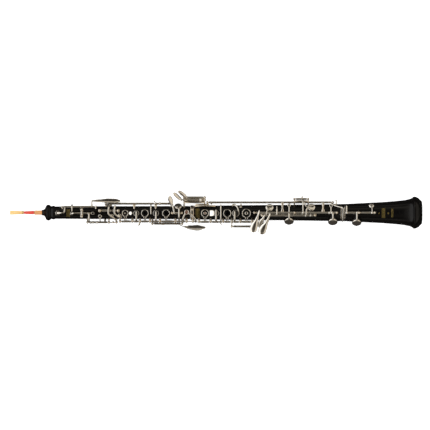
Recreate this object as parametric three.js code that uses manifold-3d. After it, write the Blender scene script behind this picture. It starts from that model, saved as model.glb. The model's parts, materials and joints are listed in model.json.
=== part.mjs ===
// An oboe lying on its back: the tone-hole side faces up (+Z), the reed points along -X, the bell
// along +X, and the left hand's little-finger levers stand out along +Y. Millimetres throughout.
// Inside the group, y = 0 and z = 0 are the bore axis; the group lifts that axis above the table.
import Module from 'manifold-3d';
import * as THREE from 'three';
import { mergeVertices } from 'three/addons/utils/BufferGeometryUtils.js';

const wasm = await Module();
wasm.setup();

// ---- Driving dimensions -------------------------------------------------------------------
const RIM_RADIUS = 25.0;        // widest ridge of the bell, which touches the table
const REED_TIP = -320.2;
const BELL_END = 320.2;
const TOP_END = -270.3;         // mouth of the reed well
const MIDDLE_JOINT = -39.9;     // shoulder of the upper joint
const SOCKET_START = -34.2;     // wood of the lower joint starts behind the middle ring
const BELL_JOINT = 193.4;       // shoulder of the lower joint
const BELL_START = 200.9;       // wood of the bell starts behind its ring
const MIDDLE_RING_R = 11.1;
const GAP = 0.35;               // clearance between separate pieces
const WOOD_SIDES = 16;
const RING_SIDES = 10;          // facets of cups and rings
const ROUND_SIDES = 6;          // facets of rods, tubes and balls

// Keywork stock sizes
const TUBE_R = 1.65;            // hinge tube, outside
const BORE_R = 1.05;            // hinge tube, bore
const ROD_R = 0.75;             // steel hinge rod
const BALL_R = 2.1;             // ball head of a post
const POST_FOOT_R = 1.6;
const POST_NECK_R = 1.0;
const ARM_R = 0.9;              // round key arm
const RING_HEIGHT = 1.3;
const TOUCH_THICKNESS = 1.3;
const OPEN_LIFT = 1.9;          // open keys stand this far above the wood
const SHUT_LIFT = 0.6;          // closed keys rest on pads of this thickness
const CUP_HEIGHT = 2.6;
const G_SHARP_SEAT = 1.8;       // raised seats of wood round some tone holes
const SIDE_SEAT = 1.2;
const FOOT_SEAT = 2.3;
const SIDE_LIFT = SIDE_SEAT + SHUT_LIFT;
const FOOT_LIFT = FOOT_SEAT + OPEN_LIFT;
const FOOT_ANGLE = -52;         // the foot's big cups lie this far round from the front
const BELL_CUP_ANGLE = -54;
const SIDE_CUP_ANGLE = 32;
const BIG_CUP_R = 7.4;

// Hinge lines run along X at these [y, z] places round the bore
const LINE = {
  sideOctave: [9.0, 10.0],
  thumbOctave: [-15.1, 2.0],
  trillPivot: [3.0, 13.6],
  upperTop: [14.0, 5.0],
  leftStack: [-13.8, 5.9],
  sideTrill: [-17.2, -1.5],
  gSharp: [-0.9, 14.3],
  pinkyHigh: [23.6, 11.5],
  pinkyLow: [19.6, 9.5],
  lowerTop: [15.9, 7.0],
  rightStack: [-14.4, 6.4],
  outer: [-21.5, 2.5],
  footCentre: [-0.2, 17.6],
  footSide: [-4.4, 16.2],
  upperSide: [21.2, 8.6],
  bell: [-0.2, 19.3],
};

// Outside of the wood: [x, radius] from the reed well to the bell's end
const UPPER_OUTSIDE = [
  [TOP_END, 4.4], [-266.7, 5.6], [-264.2, 10.4], [-260.6, 12.4], [-256.2, 10.1], [-252.6, 10.7],
  [-249.4, 9.6], [MIDDLE_JOINT, 10.25],
];
const LOWER_OUTSIDE = [[SOCKET_START, 10.7], [-24.7, 10.7], [107.5, 12.1], [BELL_JOINT, 13.35]];
const BELL_OUTSIDE = [
  [BELL_START, 13.4], [235.0, 15.2], [263.0, 16.6], [286.3, 18.7], [301.1, 21.3],
  [307.6, RIM_RADIUS], [312.4, 24.0], [317.2, 20.4], [BELL_END, 17.9],
];

const FINISH = {
  wood: { color: 0x121110, roughness: 0.35, metalness: 0.0 },
  plate: { color: 0xcfc6b8, roughness: 0.2, metalness: 1.0 },
  cork: { color: 0xb8703c, roughness: 0.9, metalness: 0.0 },
  cane: { color: 0xe0b970, roughness: 0.6, metalness: 0.0 },
  thread: { color: 0xd8301c, roughness: 0.7, metalness: 0.0 },
  staple: { color: 0xb99a4a, roughness: 0.3, metalness: 1.0 },
};
const material = {};
for (const [name, look] of Object.entries(FINISH)) {
  material[name] = new THREE.MeshStandardMaterial(look);
}

// ---- Small tools --------------------------------------------------------------------------
const RAD = Math.PI / 180;
const Y_AXIS = new THREE.Vector3(0, 1, 0);
const Z_AXIS = new THREE.Vector3(0, 0, 1);
const at = (x, y, z) => new THREE.Vector3(x, y, z);
const onLine = (line, x) => at(x, line[0], line[1]);

// A point round the bore: the angle is measured from the front (+Z) towards +Y
function around(x, radius, degrees) {
  return at(x, radius * Math.sin(degrees * RAD), radius * Math.cos(degrees * RAD));
}

function radiusIn(profile, x) {
  for (let i = 1; i < profile.length; i += 1) {
    const [x0, r0] = profile[i - 1];
    const [x1, r1] = profile[i];
    if (x <= x1) {
      return r0 + (r1 - r0) * Math.max(0, x - x0) / (x1 - x0);
    }
  }
  return profile[profile.length - 1][1];
}

// Outside of the body at x, with the middle ring between its two joints
function woodRadius(x) {
  if (x < MIDDLE_JOINT) {
    return radiusIn(UPPER_OUTSIDE, x);
  }
  if (x < SOCKET_START) {
    return MIDDLE_RING_R;
  }
  return x < BELL_START ? radiusIn(LOWER_OUTSIDE, x) : radiusIn(BELL_OUTSIDE, x);
}

// A closed three.js geometry becomes a solid that can be joined and cut
function toSolid(geometry) {
  const bare = new THREE.BufferGeometry();
  bare.setAttribute('position', geometry.getAttribute('position'));
  bare.setIndex(geometry.index);
  const merged = mergeVertices(bare, 1e-4);
  const points = merged.getAttribute('position').array;
  const corners = merged.index.array;
  const triangles = [];
  let volume = 0;
  for (let i = 0; i < corners.length; i += 3) {
    const [a, b, c] = [corners[i], corners[i + 1], corners[i + 2]];
    if (a !== b && b !== c && c !== a) {
      triangles.push(a, b, c);
      const [p, q, r] = [a, b, c].map((k) => new THREE.Vector3().fromArray(points, 3 * k));
      volume += p.dot(q.cross(r));
    }
  }
  if (volume < 0) {
    triangles.reverse();
  }
  return new wasm.Manifold(new wasm.Mesh({
    numProp: 3,
    vertProperties: new Float32Array(points),
    triVerts: new Uint32Array(triangles),
  }));
}

function joined(solids) {
  return solids.flat().reduce((sum, next) => sum.add(next));
}

// Turns a geometry made along +Y so that it runs along the given direction from the origin point
function placed(geometry, origin, direction) {
  const turn = new THREE.Quaternion().setFromUnitVectors(Y_AXIS, direction.clone().normalize());
  geometry.applyQuaternion(turn);
  geometry.translate(origin.x, origin.y, origin.z);
  return toSolid(geometry);
}

// A turned body round the line y = 0, z = 0: the profile lists [x, radius]
function turned(profile, sides = WOOD_SIDES) {
  const geometry = new THREE.LatheGeometry(profile.map(([x, r]) => new THREE.Vector2(r, x)), sides);
  geometry.rotateZ(-Math.PI / 2);
  return toSolid(geometry);
}

function limb(from, to, r0 = ARM_R, r1 = r0, sides = 5) {
  const run = to.clone().sub(from);
  const geometry = new THREE.CylinderGeometry(r1, r0, run.length(), sides);
  geometry.translate(0, run.length() / 2, 0);
  return placed(geometry, from, run);
}

function ball(centre, radius) {
  const geometry = new THREE.SphereGeometry(radius, ROUND_SIDES, 4);
  geometry.translate(centre.x, centre.y, centre.z);
  return toSolid(geometry);
}

// A bent arm: a five-sided bar swept smoothly through a list of points
function arm(points, radius = ARM_R) {
  const section = new THREE.Shape();
  section.setFromPoints([0, 1, 2, 3, 4].map((k) => (
    new THREE.Vector2(radius * Math.cos(72 * k * RAD), radius * Math.sin(72 * k * RAD))
  )));
  const route = new THREE.CatmullRomCurve3(points, false, 'centripetal');
  const steps = points.length === 2 ? 1 : 2 * points.length - 2;
  return toSolid(new THREE.ExtrudeGeometry(section, { extrudePath: route, steps, bevelEnabled: false }));
}

// A key cup: a flat pad side, a straight wall and a low domed top
function cup(base, direction, radius, height = CUP_HEIGHT) {
  const profile = [[0, 0], [radius, 0], [radius, 0.6 * height], [0, height]];
  const geometry = new THREE.LatheGeometry(profile.map(([r, h]) => new THREE.Vector2(r, h)), RING_SIDES);
  return placed(geometry, base, direction);
}

function ring(base, direction, outer, inner, height = RING_HEIGHT) {
  const profile = [[inner, 0], [outer, 0], [outer, height], [inner, height], [inner, 0]];
  const geometry = new THREE.LatheGeometry(profile.map(([r, h]) => new THREE.Vector2(r, h)), RING_SIDES);
  return placed(geometry, base, direction);
}

// A touch plate from a narrow root to a round end, its width growing evenly; face is its normal
function touch(root, end, rootWidth, endWidth, face = Z_AXIS) {
  const along = end.clone().sub(root);
  const length = along.length();
  along.normalize();
  const normal = face.clone().addScaledVector(along, -face.dot(along)).normalize();
  const side = normal.clone().cross(along);
  const half = endWidth / 2;
  const outline = new THREE.Shape();
  outline.moveTo(0, -rootWidth / 2);
  outline.lineTo(length, -half);
  outline.absarc(length, 0, half, -Math.PI / 2, Math.PI / 2, false);
  outline.lineTo(0, rootWidth / 2);
  const geometry = new THREE.ExtrudeGeometry(outline, {
    depth: TOUCH_THICKNESS,
    bevelEnabled: false,
    curveSegments: 4,
  });
  geometry.translate(0, 0, -TOUCH_THICKNESS / 2);
  geometry.applyMatrix4(new THREE.Matrix4().makeBasis(along, side, normal));
  geometry.translate(root.x, root.y, root.z);
  return toSolid(geometry);
}

function block(low, high) {
  const size = high.clone().sub(low);
  const geometry = new THREE.BoxGeometry(size.x, size.y, size.z);
  const centre = low.clone().add(high).multiplyScalar(0.5);
  geometry.translate(centre.x, centre.y, centre.z);
  return toSolid(geometry);
}

// A tone-hole cover over the front of the bore, at height `lift` over the wood
function frontBase(x, y, lift) {
  return at(x, y, woodRadius(x) + lift);
}

function cupRound(x, degrees, radius, lift = SHUT_LIFT) {
  return cup(around(x, woodRadius(x) + lift, degrees), around(0, 1, degrees), radius);
}

// Where an arm meets the top of such a cup
function cupTop(x, degrees, lift = SHUT_LIFT) {
  return around(x, woodRadius(x) + lift + 0.8 * CUP_HEIGHT, degrees);
}

// ---- Posts and rods -----------------------------------------------------------------------
// A ball-headed post standing on the wood straight below the line
function post(line, x, radius = BALL_R) {
  const head = onLine(line, x);
  const foot = at(0, line[0], line[1]).setLength(woodRadius(x) + GAP);
  foot.x = x;
  const height = head.distanceTo(foot);
  const profile = [
    [0, 0], [POST_FOOT_R, 0], [POST_NECK_R, height - 0.8 * radius], [radius, height - 0.3 * radius],
    [radius, height + 0.3 * radius], [0, height + radius],
  ];
  const geometry = new THREE.LatheGeometry(profile.map(([r, h]) => new THREE.Vector2(r, h)), ROUND_SIDES);
  return placed(geometry, foot, head.clone().sub(foot));
}

// A straight round rod or tube between two points
function roundBar(from, to, radius) {
  return limb(from, to, radius, radius, ROUND_SIDES);
}

function rodOnPosts(line, x0, x1, posts) {
  return joined([roundBar(onLine(line, x0), onLine(line, x1), ROD_R), ...posts.map((x) => post(line, x))]);
}

// A key: a hinge tube on its line, whatever is brazed to it, and the bore for the rod
function key(line, x0, x1, pieces) {
  const body = joined([roundBar(onLine(line, x0), onLine(line, x1), TUBE_R), ...pieces]);
  return body.subtract(roundBar(onLine(line, x0 - 1), onLine(line, x1 + 1), BORE_R));
}

const group = new THREE.Group();
group.position.z = RIM_RADIUS;

function add(name, solid, finish = 'plate') {
  const { vertProperties, triVerts } = solid.getMesh();
  const geometry = new THREE.BufferGeometry();
  geometry.setAttribute('position', new THREE.BufferAttribute(new Float32Array(vertProperties), 3));
  geometry.setIndex(new THREE.BufferAttribute(new Uint32Array(triVerts), 1));
  geometry.computeVertexNormals();
  const mesh = new THREE.Mesh(geometry, material[finish]);
  mesh.name = name;
  group.add(mesh);
}

// ---- Wood, corks and rings ----------------------------------------------------------------
// Tone holes: [x, angle round the bore, radius]
const UPPER_HOLES = [
  [-245.8, -3, 0.9], [-224.2, -7, 0.9], [-161.5, -24, 1.6], [-149.6, -23, 1.6], [-140.7, -6, 1.2],
  [-123.5, -5, 1.6], [-110.2, -6, 2.0], [-93.1, -5, 2.0], [-77.4, -6, 2.2], [-58.5, 47, 2.2],
];
const LOWER_HOLES = [
  [-16.9, -3, 2.4], [0.2, -6, 2.4], [17.6, -3, 2.6], [30.9, -3, 2.8], [47.3, -5, 2.8],
  [83.2, SIDE_CUP_ANGLE, 3.2], [113.5, FOOT_ANGLE, 3.8], [147.9, SIDE_CUP_ANGLE, 3.4],
  [181.3, FOOT_ANGLE, 4.0],
];
const BELL_HOLES = [[218.4, BELL_CUP_ANGLE, 4.0], [241.2, 40, 2.0]];

// Raised, flat seats: [x, angle, radius, height over the wood, distance of the foot from the bore axis]
const UPPER_SEATS = [[-58.5, 47, 5.0, G_SHARP_SEAT, 6.0]];
const LOWER_SEATS = [
  [83.2, SIDE_CUP_ANGLE, 5.0, SIDE_SEAT, 8.0], [113.5, FOOT_ANGLE, 6.0, FOOT_SEAT, 9.0],
  [147.9, SIDE_CUP_ANGLE, 5.0, SIDE_SEAT, 8.0], [181.3, FOOT_ANGLE, 6.0, FOOT_SEAT, 9.0],
];
const BELL_SEATS = [[218.4, BELL_CUP_ANGLE, 6.0, FOOT_SEAT, 11.6]];

function seated(solid, seats) {
  return joined([solid, ...seats.map(([x, degrees, radius, height, foot]) => (
    limb(around(x, foot, degrees), around(x, woodRadius(x) + height, degrees), radius, radius, RING_SIDES)
  ))]);
}

function drilled(solid, holes) {
  const depth = RIM_RADIUS + 5;
  return holes.reduce((wood, [x, degrees, radius]) => (
    wood.subtract(roundBar(at(x, 0, 0), around(x, depth, degrees), radius))
  ), solid);
}

const WELL_R = 3.75;
const WELL_END = -251.0;
const TENON_R = 7.6;
const TENON_END = -18.0;
const SOCKET_R = 8.65;
const SOCKET_END = -17.5;
const FOOT_TENON_R = 10.2;
const FOOT_TENON_END = 214.0;
const BELL_SOCKET_R = 11.3;
const BELL_SOCKET_END = 216.0;
const BORE_TOP_R = 2.1;
const BORE_MIDDLE_R = 3.5;
const BORE_FOOT_R = 6.6;
const MOUTH_R = 16.3;

function upperJoint() {
  const wood = turned([
    ...UPPER_OUTSIDE, [MIDDLE_JOINT, TENON_R], [TENON_END, TENON_R], [TENON_END, BORE_MIDDLE_R],
    [WELL_END, BORE_TOP_R], [WELL_END, WELL_R], [TOP_END, WELL_R], [TOP_END, UPPER_OUTSIDE[0][1]],
  ]);
  return drilled(seated(wood, UPPER_SEATS), UPPER_HOLES);
}

function lowerJoint() {
  const wood = turned([
    ...LOWER_OUTSIDE, [BELL_JOINT, FOOT_TENON_R], [FOOT_TENON_END, FOOT_TENON_R],
    [FOOT_TENON_END, BORE_FOOT_R], [SOCKET_END, BORE_MIDDLE_R], [SOCKET_END, SOCKET_R],
    [SOCKET_START, SOCKET_R], LOWER_OUTSIDE[0],
  ]);
  return drilled(seated(wood, LOWER_SEATS), LOWER_HOLES);
}

// Inside of the bell, from the mouth back to the bottom of the socket: [x, radius]
const BELL_INSIDE = [[306.0, 14.4], [284.0, 11.4], [255.0, 9.0], [BELL_SOCKET_END, 7.0]];
function bell() {
  const wood = turned([
    ...BELL_OUTSIDE, [BELL_END, MOUTH_R], ...BELL_INSIDE, [BELL_SOCKET_END, BELL_SOCKET_R],
    [BELL_START, BELL_SOCKET_R], BELL_OUTSIDE[0],
  ]);
  return drilled(seated(wood, BELL_SEATS), BELL_HOLES);
}

function sleeve(x0, x1, inner, outer) {
  return turned([[x0, inner], [x0, outer], [x1, outer], [x1, inner], [x0, inner]]);
}

// The bell's ring carries two narrow raised beads
const BEAD_R = 13.7;
const BELL_RING_R = 13.2;
const BELL_RING = [
  [BELL_JOINT + GAP, BELL_SOCKET_R], [BELL_JOINT + GAP, BEAD_R], [195.2, BEAD_R], [195.5, BELL_RING_R],
  [198.9, BELL_RING_R], [199.2, BEAD_R], [BELL_START - GAP, BEAD_R], [BELL_START - GAP, BELL_SOCKET_R],
  [BELL_JOINT + GAP, BELL_SOCKET_R],
];

add('upper_joint', upperJoint(), 'wood');
add('lower_joint', lowerJoint(), 'wood');
add('bell', bell(), 'wood');
add('middle_ring', sleeve(MIDDLE_JOINT + GAP, SOCKET_START - GAP, SOCKET_R, MIDDLE_RING_R));
add('bell_ring', turned(BELL_RING));
add('upper_tenon_cork', sleeve(-36.5, -20.5, TENON_R + GAP, SOCKET_R - GAP), 'cork');
add('bell_tenon_cork', sleeve(195.5, 212.0, FOOT_TENON_R + GAP, BELL_SOCKET_R - GAP), 'cork');

// The thumb rest's hook reaches down to the table when the oboe lies on its back
const REST_TOP = -woodRadius(0) - GAP;
add('thumb_rest', joined([
  block(at(-14.0, -5.0, REST_TOP - 1.4), at(8.0, 5.0, REST_TOP)),
  block(at(-7.6, -4.0, -24.2), at(-5.2, 4.0, REST_TOP - 1.0)),
  block(at(-13.5, -7.0, -RIM_RADIUS), at(4.5, 7.0, 1.6 - RIM_RADIUS)),
]));

// ---- Reed ---------------------------------------------------------------------------------
const BLADE_ROOT = -298.7;
const THREAD_START = -298.4;
const THREAD_END = -282.4;
const REED_CORK_END = -253.5;
const STAPLE_START = -298.0;

// One cane blade: half a tube at the throat that flattens and widens towards the tip
function blade(sign) {
  const inner = 1.9;
  const outer = 2.45;
  const widening = 0.34;
  const flattening = 0.78;
  const first = 8 * RAD;
  const last = Math.PI - first;
  const half = new THREE.Shape();
  half.absarc(0, 0, outer, first, last, false);
  half.absarc(0, 0, inner, last, first, true);
  const length = BLADE_ROOT - REED_TIP;
  const geometry = new THREE.ExtrudeGeometry(half, {
    depth: length,
    steps: 3,
    bevelEnabled: false,
    curveSegments: 5,
  });
  const points = geometry.getAttribute('position');
  for (let i = 0; i < points.count; i += 1) {
    const toTip = points.getZ(i) / length;
    const across = points.getX(i) * (1 + widening * toTip);
    const deep = points.getY(i) * (1 - flattening * toTip);
    points.setXYZ(i, BLADE_ROOT - points.getZ(i), across, sign * deep);
  }
  return toSolid(geometry);
}

add('reed_blade_front', blade(1), 'cane');
add('reed_blade_back', blade(-1), 'cane');
add('reed_thread', turned([
  [THREAD_START, 1.45], [THREAD_START, 1.95], [THREAD_END, 2.75], [THREAD_END, 2.25], [THREAD_START, 1.45],
], 12), 'thread');
add('reed_staple', turned([
  [STAPLE_START, 0.7], [STAPLE_START, 1.1], [THREAD_END, 1.9], [REED_CORK_END + 0.3, 2.1],
  [REED_CORK_END + 0.3, 1.6], [THREAD_END, 1.4], [STAPLE_START, 0.7],
], 12), 'staple');
add('reed_cork', sleeve(THREAD_END + GAP, REED_CORK_END, 2.45, WELL_R - GAP), 'cork');

// ---- Upper joint: octave keys -------------------------------------------------------------
add('side_octave_rod', rodOnPosts(LINE.sideOctave, -238.9, -186.4, [-238.9, -186.4]));
add('side_octave_key', key(LINE.sideOctave, -236.3, -189.0, [
  arm([onLine(LINE.sideOctave, -234.7), at(-234.7, 0.5, 14.0), cupTop(-245.8, -3)]),
  cupRound(-245.8, -3, 3.8),
  arm([onLine(LINE.sideOctave, -192.5), at(-192.5, 18.8, 12.4)]),
  touch(at(-192.8, 18.9, 12.4), at(-152.2, 18.0, 12.0), 3.0, 7.2, at(0, 0.62, 0.79)),
]));

const OCTAVE_PIVOT_X = -208.2;
const OCTAVE_PIVOT_Z = 14.0;
const octavePivot = (y) => at(OCTAVE_PIVOT_X, y, OCTAVE_PIVOT_Z);
const pivotEnds = [4.5, -6.1];
const hubEnds = [1.7, -3.3];
add('octave_pivot_posts', joined([
  roundBar(...pivotEnds.map(octavePivot), ROD_R),
  ...pivotEnds.map((y) => post([y, OCTAVE_PIVOT_Z], OCTAVE_PIVOT_X, 2.4)),
]));
const leverHub = joined([
  roundBar(...hubEnds.map(octavePivot), TUBE_R),
  arm([
    cupTop(-224.2, -7), at(-221.0, -0.9, 14.4), at(-197.4, -0.9, 14.4), at(-196.4, -9.0, 12.4),
    at(-197.4, -13.4, 8.8),
  ]),
  cupRound(-224.2, -7, 2.8),
]);
add('first_octave_lever', leverHub.subtract(
  roundBar(octavePivot(hubEnds[0] + 1), octavePivot(hubEnds[1] - 1), BORE_R),
));

add('thumb_octave_rod', rodOnPosts(LINE.thumbOctave, -199.6, -154.5, [-199.6, -166.2, -154.5]));
add('thumb_octave_key', key(LINE.thumbOctave, -197.0, -168.8, [
  arm([onLine(LINE.thumbOctave, -194.6), at(-194.6, -16.0, 6.4)], 1.3),
  arm([onLine(LINE.thumbOctave, -179.8), at(-179.8, -12.6, 7.8), at(-179.8, -7.8, 11.8)], 0.8),
  ring(around(-179.8, 12.2, -26), around(0, 1, -26), 2.9, 1.5),
  arm([onLine(LINE.thumbOctave, -173.0), at(-173.0, -14.6, -8.4), at(-172.0, -7.6, -15.6)], 1.2),
  touch(at(-172.4, -8.6, -15.4), at(-172.4, 2.6, -15.9), 5.0, 11.0, at(0, 0, -1)),
]));

// ---- Upper joint: trill keys --------------------------------------------------------------
add('trill_pivot_rod', rodOnPosts(LINE.trillPivot, -180.2, -151.5, [-180.2, -151.5]));
add('trill_lever_left', key(LINE.trillPivot, -177.6, -163.0, [
  arm([
    at(-165.6, 9.0, 12.6), at(-167.0, 2.5, 15.4), at(-165.8, -1.8, 14.4), cupTop(-161.5, -24),
    at(-156.9, -9.4, 10.4), at(-155.6, -11.6, 8.4),
  ]),
  cupRound(-161.5, -24, 3.2),
]));
add('trill_lever_right', key(LINE.trillPivot, -161.6, -154.1, [
  arm([
    at(-156.1, 11.0, 11.8), at(-157.2, 3.1, 15.4), at(-155.6, -1.8, 14.4), cupTop(-149.6, -23),
    at(-146.4, -8.2, 11.0),
  ]),
  cupRound(-149.6, -23, 3.2),
]));

add('upper_top_rod', joined([
  rodOnPosts(LINE.upperTop, -170.9, -68.6, [-170.9, -93.8, -69.6]),
  roundBar(onLine(LINE.upperTop, -93.8), onLine(LINE.upperTop, -69.6), 1.5),
]));
add('trill_touch_key', key(LINE.upperTop, -168.2, -96.5, [
  arm([onLine(LINE.upperTop, -164.6), at(-164.6, 12.4, 8.6)]),
  arm([onLine(LINE.upperTop, -100.9), at(-100.9, 10.0, 11.6), at(-100.9, 3.0, 14.2), at(-100.9, -1.8, 14.2)]),
]));

// ---- Upper joint: left hand stack ---------------------------------------------------------
const LEFT_POSTS = [-148.9, -129.6, -118.0, -102.5, -86.9, -62.8, -45.7, -35.8];
const LEFT_ROD_END = -29.2;
const END_GAP = BALL_R + 0.4;
add('left_stack_rod', rodOnPosts(LINE.leftStack, LEFT_POSTS[0], LEFT_ROD_END, LEFT_POSTS));

// A tube that fills the space between the posts on both sides of x
function between(posts, x) {
  const left = Math.max(...posts.filter((p) => p < x));
  const right = Math.min(...posts.filter((p) => p > x));
  return [left + END_GAP, right - END_GAP];
}

// A finger ring over the front of the bore, on an arm from the stack's tube
function ringKey(line, posts, x, radius, extra = []) {
  const y = -1.0;
  const base = frontBase(x, y, OPEN_LIFT);
  const edge = at(x, y - radius + 0.5, base.z + 0.65);
  return key(line, ...between(posts, x), [
    ring(base, Z_AXIS, radius, radius - 1.4),
    arm([onLine(line, x), edge], 1.0),
    ...extra,
  ]);
}

const LOW_CUP_HEIGHT = 2.2;
function cupKey(line, posts, x, radius, armX = x) {
  const base = frontBase(x, -1.0, OPEN_LIFT);
  return key(line, ...between(posts, armX), [
    cup(base, Z_AXIS, radius, LOW_CUP_HEIGHT),
    arm([onLine(line, armX), at(armX, -9.6, base.z + 0.2), at(armX, 0.2, base.z + LOW_CUP_HEIGHT)], 1.1),
  ]);
}

const halfHole = frontBase(-132.0, -1.0, OPEN_LIFT);
add('half_hole_plate', ringKey(LINE.leftStack, LEFT_POSTS, -140.7, 5.2, [
  cup(halfHole, Z_AXIS, 3.0, RING_HEIGHT + 0.3),
  arm([at(-136.6, -1.0, halfHole.z + 0.7), at(-132.0, -1.0, halfHole.z + 0.7)], 0.7),
]));
add('left_cup_b', cupKey(LINE.leftStack, LEFT_POSTS, -123.5, 4.3));
add('left_ring_a', ringKey(LINE.leftStack, LEFT_POSTS, -110.2, 6.0));
add('left_cup_c', cupKey(LINE.leftStack, LEFT_POSTS, -93.1, 4.6));
add('left_ring_g', ringKey(LINE.leftStack, LEFT_POSTS, -77.4, 6.0));

// ---- Upper joint: G sharp -----------------------------------------------------------------
add('g_sharp_rod', rodOnPosts(LINE.gSharp, -67.8, -53.2, [-67.8, -53.2]));
add('g_sharp_touch', key(LINE.gSharp, -65.2, -55.8, [
  arm([at(-63.6, -0.6, 15.0), at(-65.6, 7.0, 15.0), at(-68.6, 14.0, 13.0)], 1.1),
  touch(at(-68.2, 12.6, 13.2), at(-70.5, 21.6, 11.6), 3.4, 7.0),
]));
const G_SHARP_ARM = -57.1;
add('g_sharp_cup', key(LINE.leftStack, LEFT_POSTS[5] + END_GAP, -54.6, [
  arm([
    onLine(LINE.leftStack, G_SHARP_ARM), at(G_SHARP_ARM, -8.6, 13.4), at(G_SHARP_ARM, -1.4, 18.0),
    at(G_SHARP_ARM, 6.4, 16.2), at(-58.3, 10.8, 10.6),
  ]),
  cupRound(-58.5, 47, 5.8, G_SHARP_SEAT + SHUT_LIFT),
]));

// ---- Bridge between the joints, and the side trill paddle ---------------------------------
// The wishbone turns on two tubes, one outside each of the two middle posts
const pearl = at(-45.4, 0.6, 12.8);
const pearlMiddle = pearl.clone().add(at(0, 0, 0.8));
const farTube = [-33.2, -29.7].map((x) => onLine(LINE.leftStack, x));
add('bridge_wishbone', key(LINE.leftStack, -54.0, -48.3, [
  cup(pearl, Z_AXIS, 3.4, 1.6),
  arm([onLine(LINE.leftStack, -50.8), at(-50.4, -10.0, 10.4), at(-48.2, -3.0, 13.4), pearlMiddle]),
  roundBar(...farTube, TUBE_R),
  arm([onLine(LINE.leftStack, -31.2), at(-32.4, -10.6, 10.2), at(-38.6, -3.4, 13.4), pearlMiddle]),
]).subtract(roundBar(...farTube.map((end, i) => end.clone().add(at(2 * i - 1, 0, 0))), BORE_R)));

add('side_trill_rod', rodOnPosts(LINE.sideTrill, -98.8, -52.6, [-98.8, -52.6]));
add('side_trill_paddle', key(LINE.sideTrill, -96.2, -55.2, [
  arm([onLine(LINE.sideTrill, -84.0), at(-82.3, -18.6, 2.6)], 1.2),
  arm([onLine(LINE.sideTrill, -57.4), at(-53.0, -21.6, -0.4), at(-46.0, -22.6, 0.0)], 1.2),
  touch(at(-48.5, -22.4, 0.0), at(-20.6, -23.5, 0.4), 3.0, 9.2, at(0, -0.62, 0.78)),
]));

// ---- Left little finger -------------------------------------------------------------------
// Two posts, one on each joint, carry both hinge rods and a plain tie rod below them
const PINKY_POSTS = [-49.5, -17.5];
const pinkyPost = (x) => joined([
  ball(onLine(LINE.pinkyHigh, x), 2.0),
  ball(onLine(LINE.pinkyLow, x), 2.0),
  limb(around(x, woodRadius(x) + GAP, 64), onLine(LINE.pinkyHigh, x), 1.7, 1.1),
]);
const PINKY_TUBE = [PINKY_POSTS[0] + 2.4, PINKY_POSTS[1] - 2.4];
const TIE_ROD = [15.7, 7.6];
add('left_pinky_rods', joined([
  ...[LINE.pinkyHigh, LINE.pinkyLow].map((line) => (
    roundBar(...PINKY_POSTS.map((x) => onLine(line, x)), ROD_R)
  )),
  roundBar(...PINKY_POSTS.map((x) => onLine(TIE_ROD, x)), 1.1),
  ...PINKY_POSTS.map(pinkyPost),
]));
add('left_pinky_low', key(LINE.pinkyLow, ...PINKY_TUBE, [
  arm([onLine(LINE.pinkyLow, -45.6), at(-46.0, 19.4, 13.4), at(-54.0, 20.4, 13.8)], 1.0),
  touch(at(-53.4, 19.6, 13.8), at(-63.8, 28.8, 13.6), 3.6, 5.4),
  ball(onLine(LINE.pinkyLow, -23.2), 2.3),
]));
add('left_pinky_high', key(LINE.pinkyHigh, ...PINKY_TUBE, [
  arm([onLine(LINE.pinkyHigh, -45.6), at(-46.0, 24.2, 14.8), at(-49.0, 26.4, 14.8)], 1.0),
  touch(at(-45.4, 23.6, 14.8), at(-56.4, 31.836, 14.6), 3.6, 5.4),
]));

// ---- Lower joint: long link along the upper side ------------------------------------------
add('lower_top_rod', rodOnPosts(LINE.lowerTop, -13.2, 181.3, [-13.2, 181.3]));
add('long_link_key', key(LINE.lowerTop, -10.6, 178.7, [
  arm([onLine(LINE.lowerTop, -7.0), at(-7.0, 13.4, 11.6)], 1.1),
  arm([
    onLine(LINE.lowerTop, 175.6), at(178.0, 14.6, 11.2), at(183.6, 13.2, 12.8), at(196.2, 8.6, 17.4),
    at(196.9, 2.5, 19.0), at(196.7, -6.0, 17.8), at(196.7, -13.6, 12.8),
  ]),
]));

// ---- Lower joint: right hand stack --------------------------------------------------------
const RIGHT_POSTS = [-26.4, -8.3, 11.3, 24.6, 38.0, 56.4];
const OUTER_PIVOTS = [24.6, 56.4];
add('right_stack_rod', joined([
  rodOnPosts(LINE.rightStack, RIGHT_POSTS[0], RIGHT_POSTS[5], RIGHT_POSTS),
  ...OUTER_PIVOTS.map((x) => limb(onLine(LINE.rightStack, x), onLine(LINE.outer, x), 1.0)),
  ...OUTER_PIVOTS.map((x) => ball(onLine(LINE.outer, x), 1.9)),
]));
const PLATE_X = -5.6;
const PLATE_CUP_X = 0.2;
const STRIP_X = 7.6;
add('right_ring_f_sharp', ringKey(LINE.rightStack, RIGHT_POSTS, -16.9, 5.9));
const plateBase = frontBase(PLATE_X, -1.0, OPEN_LIFT);
add('right_plate', key(LINE.rightStack, -5.8, 4.4, [
  cup(plateBase, Z_AXIS, 4.6, 1.7),
  cup(frontBase(PLATE_CUP_X, -1.0, OPEN_LIFT), Z_AXIS, 4.5, LOW_CUP_HEIGHT),
  arm([
    onLine(LINE.rightStack, PLATE_CUP_X), at(PLATE_CUP_X, -9.8, 13.2),
    at(PLATE_CUP_X, 0.6, plateBase.z + LOW_CUP_HEIGHT),
  ], 1.1),
]));
add('bridge_strip', key(LINE.rightStack, 5.2, 8.8, [
  arm([
    at(STRIP_X, -18.6, 7.4), onLine(LINE.rightStack, STRIP_X), at(STRIP_X, -10.6, 12.0),
    at(STRIP_X, -2.0, 15.4), at(STRIP_X, 6.0, 14.8), at(STRIP_X, 11.6, 11.6),
  ]),
]));
add('right_ring_e', ringKey(LINE.rightStack, RIGHT_POSTS, 17.6, 6.4));
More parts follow.
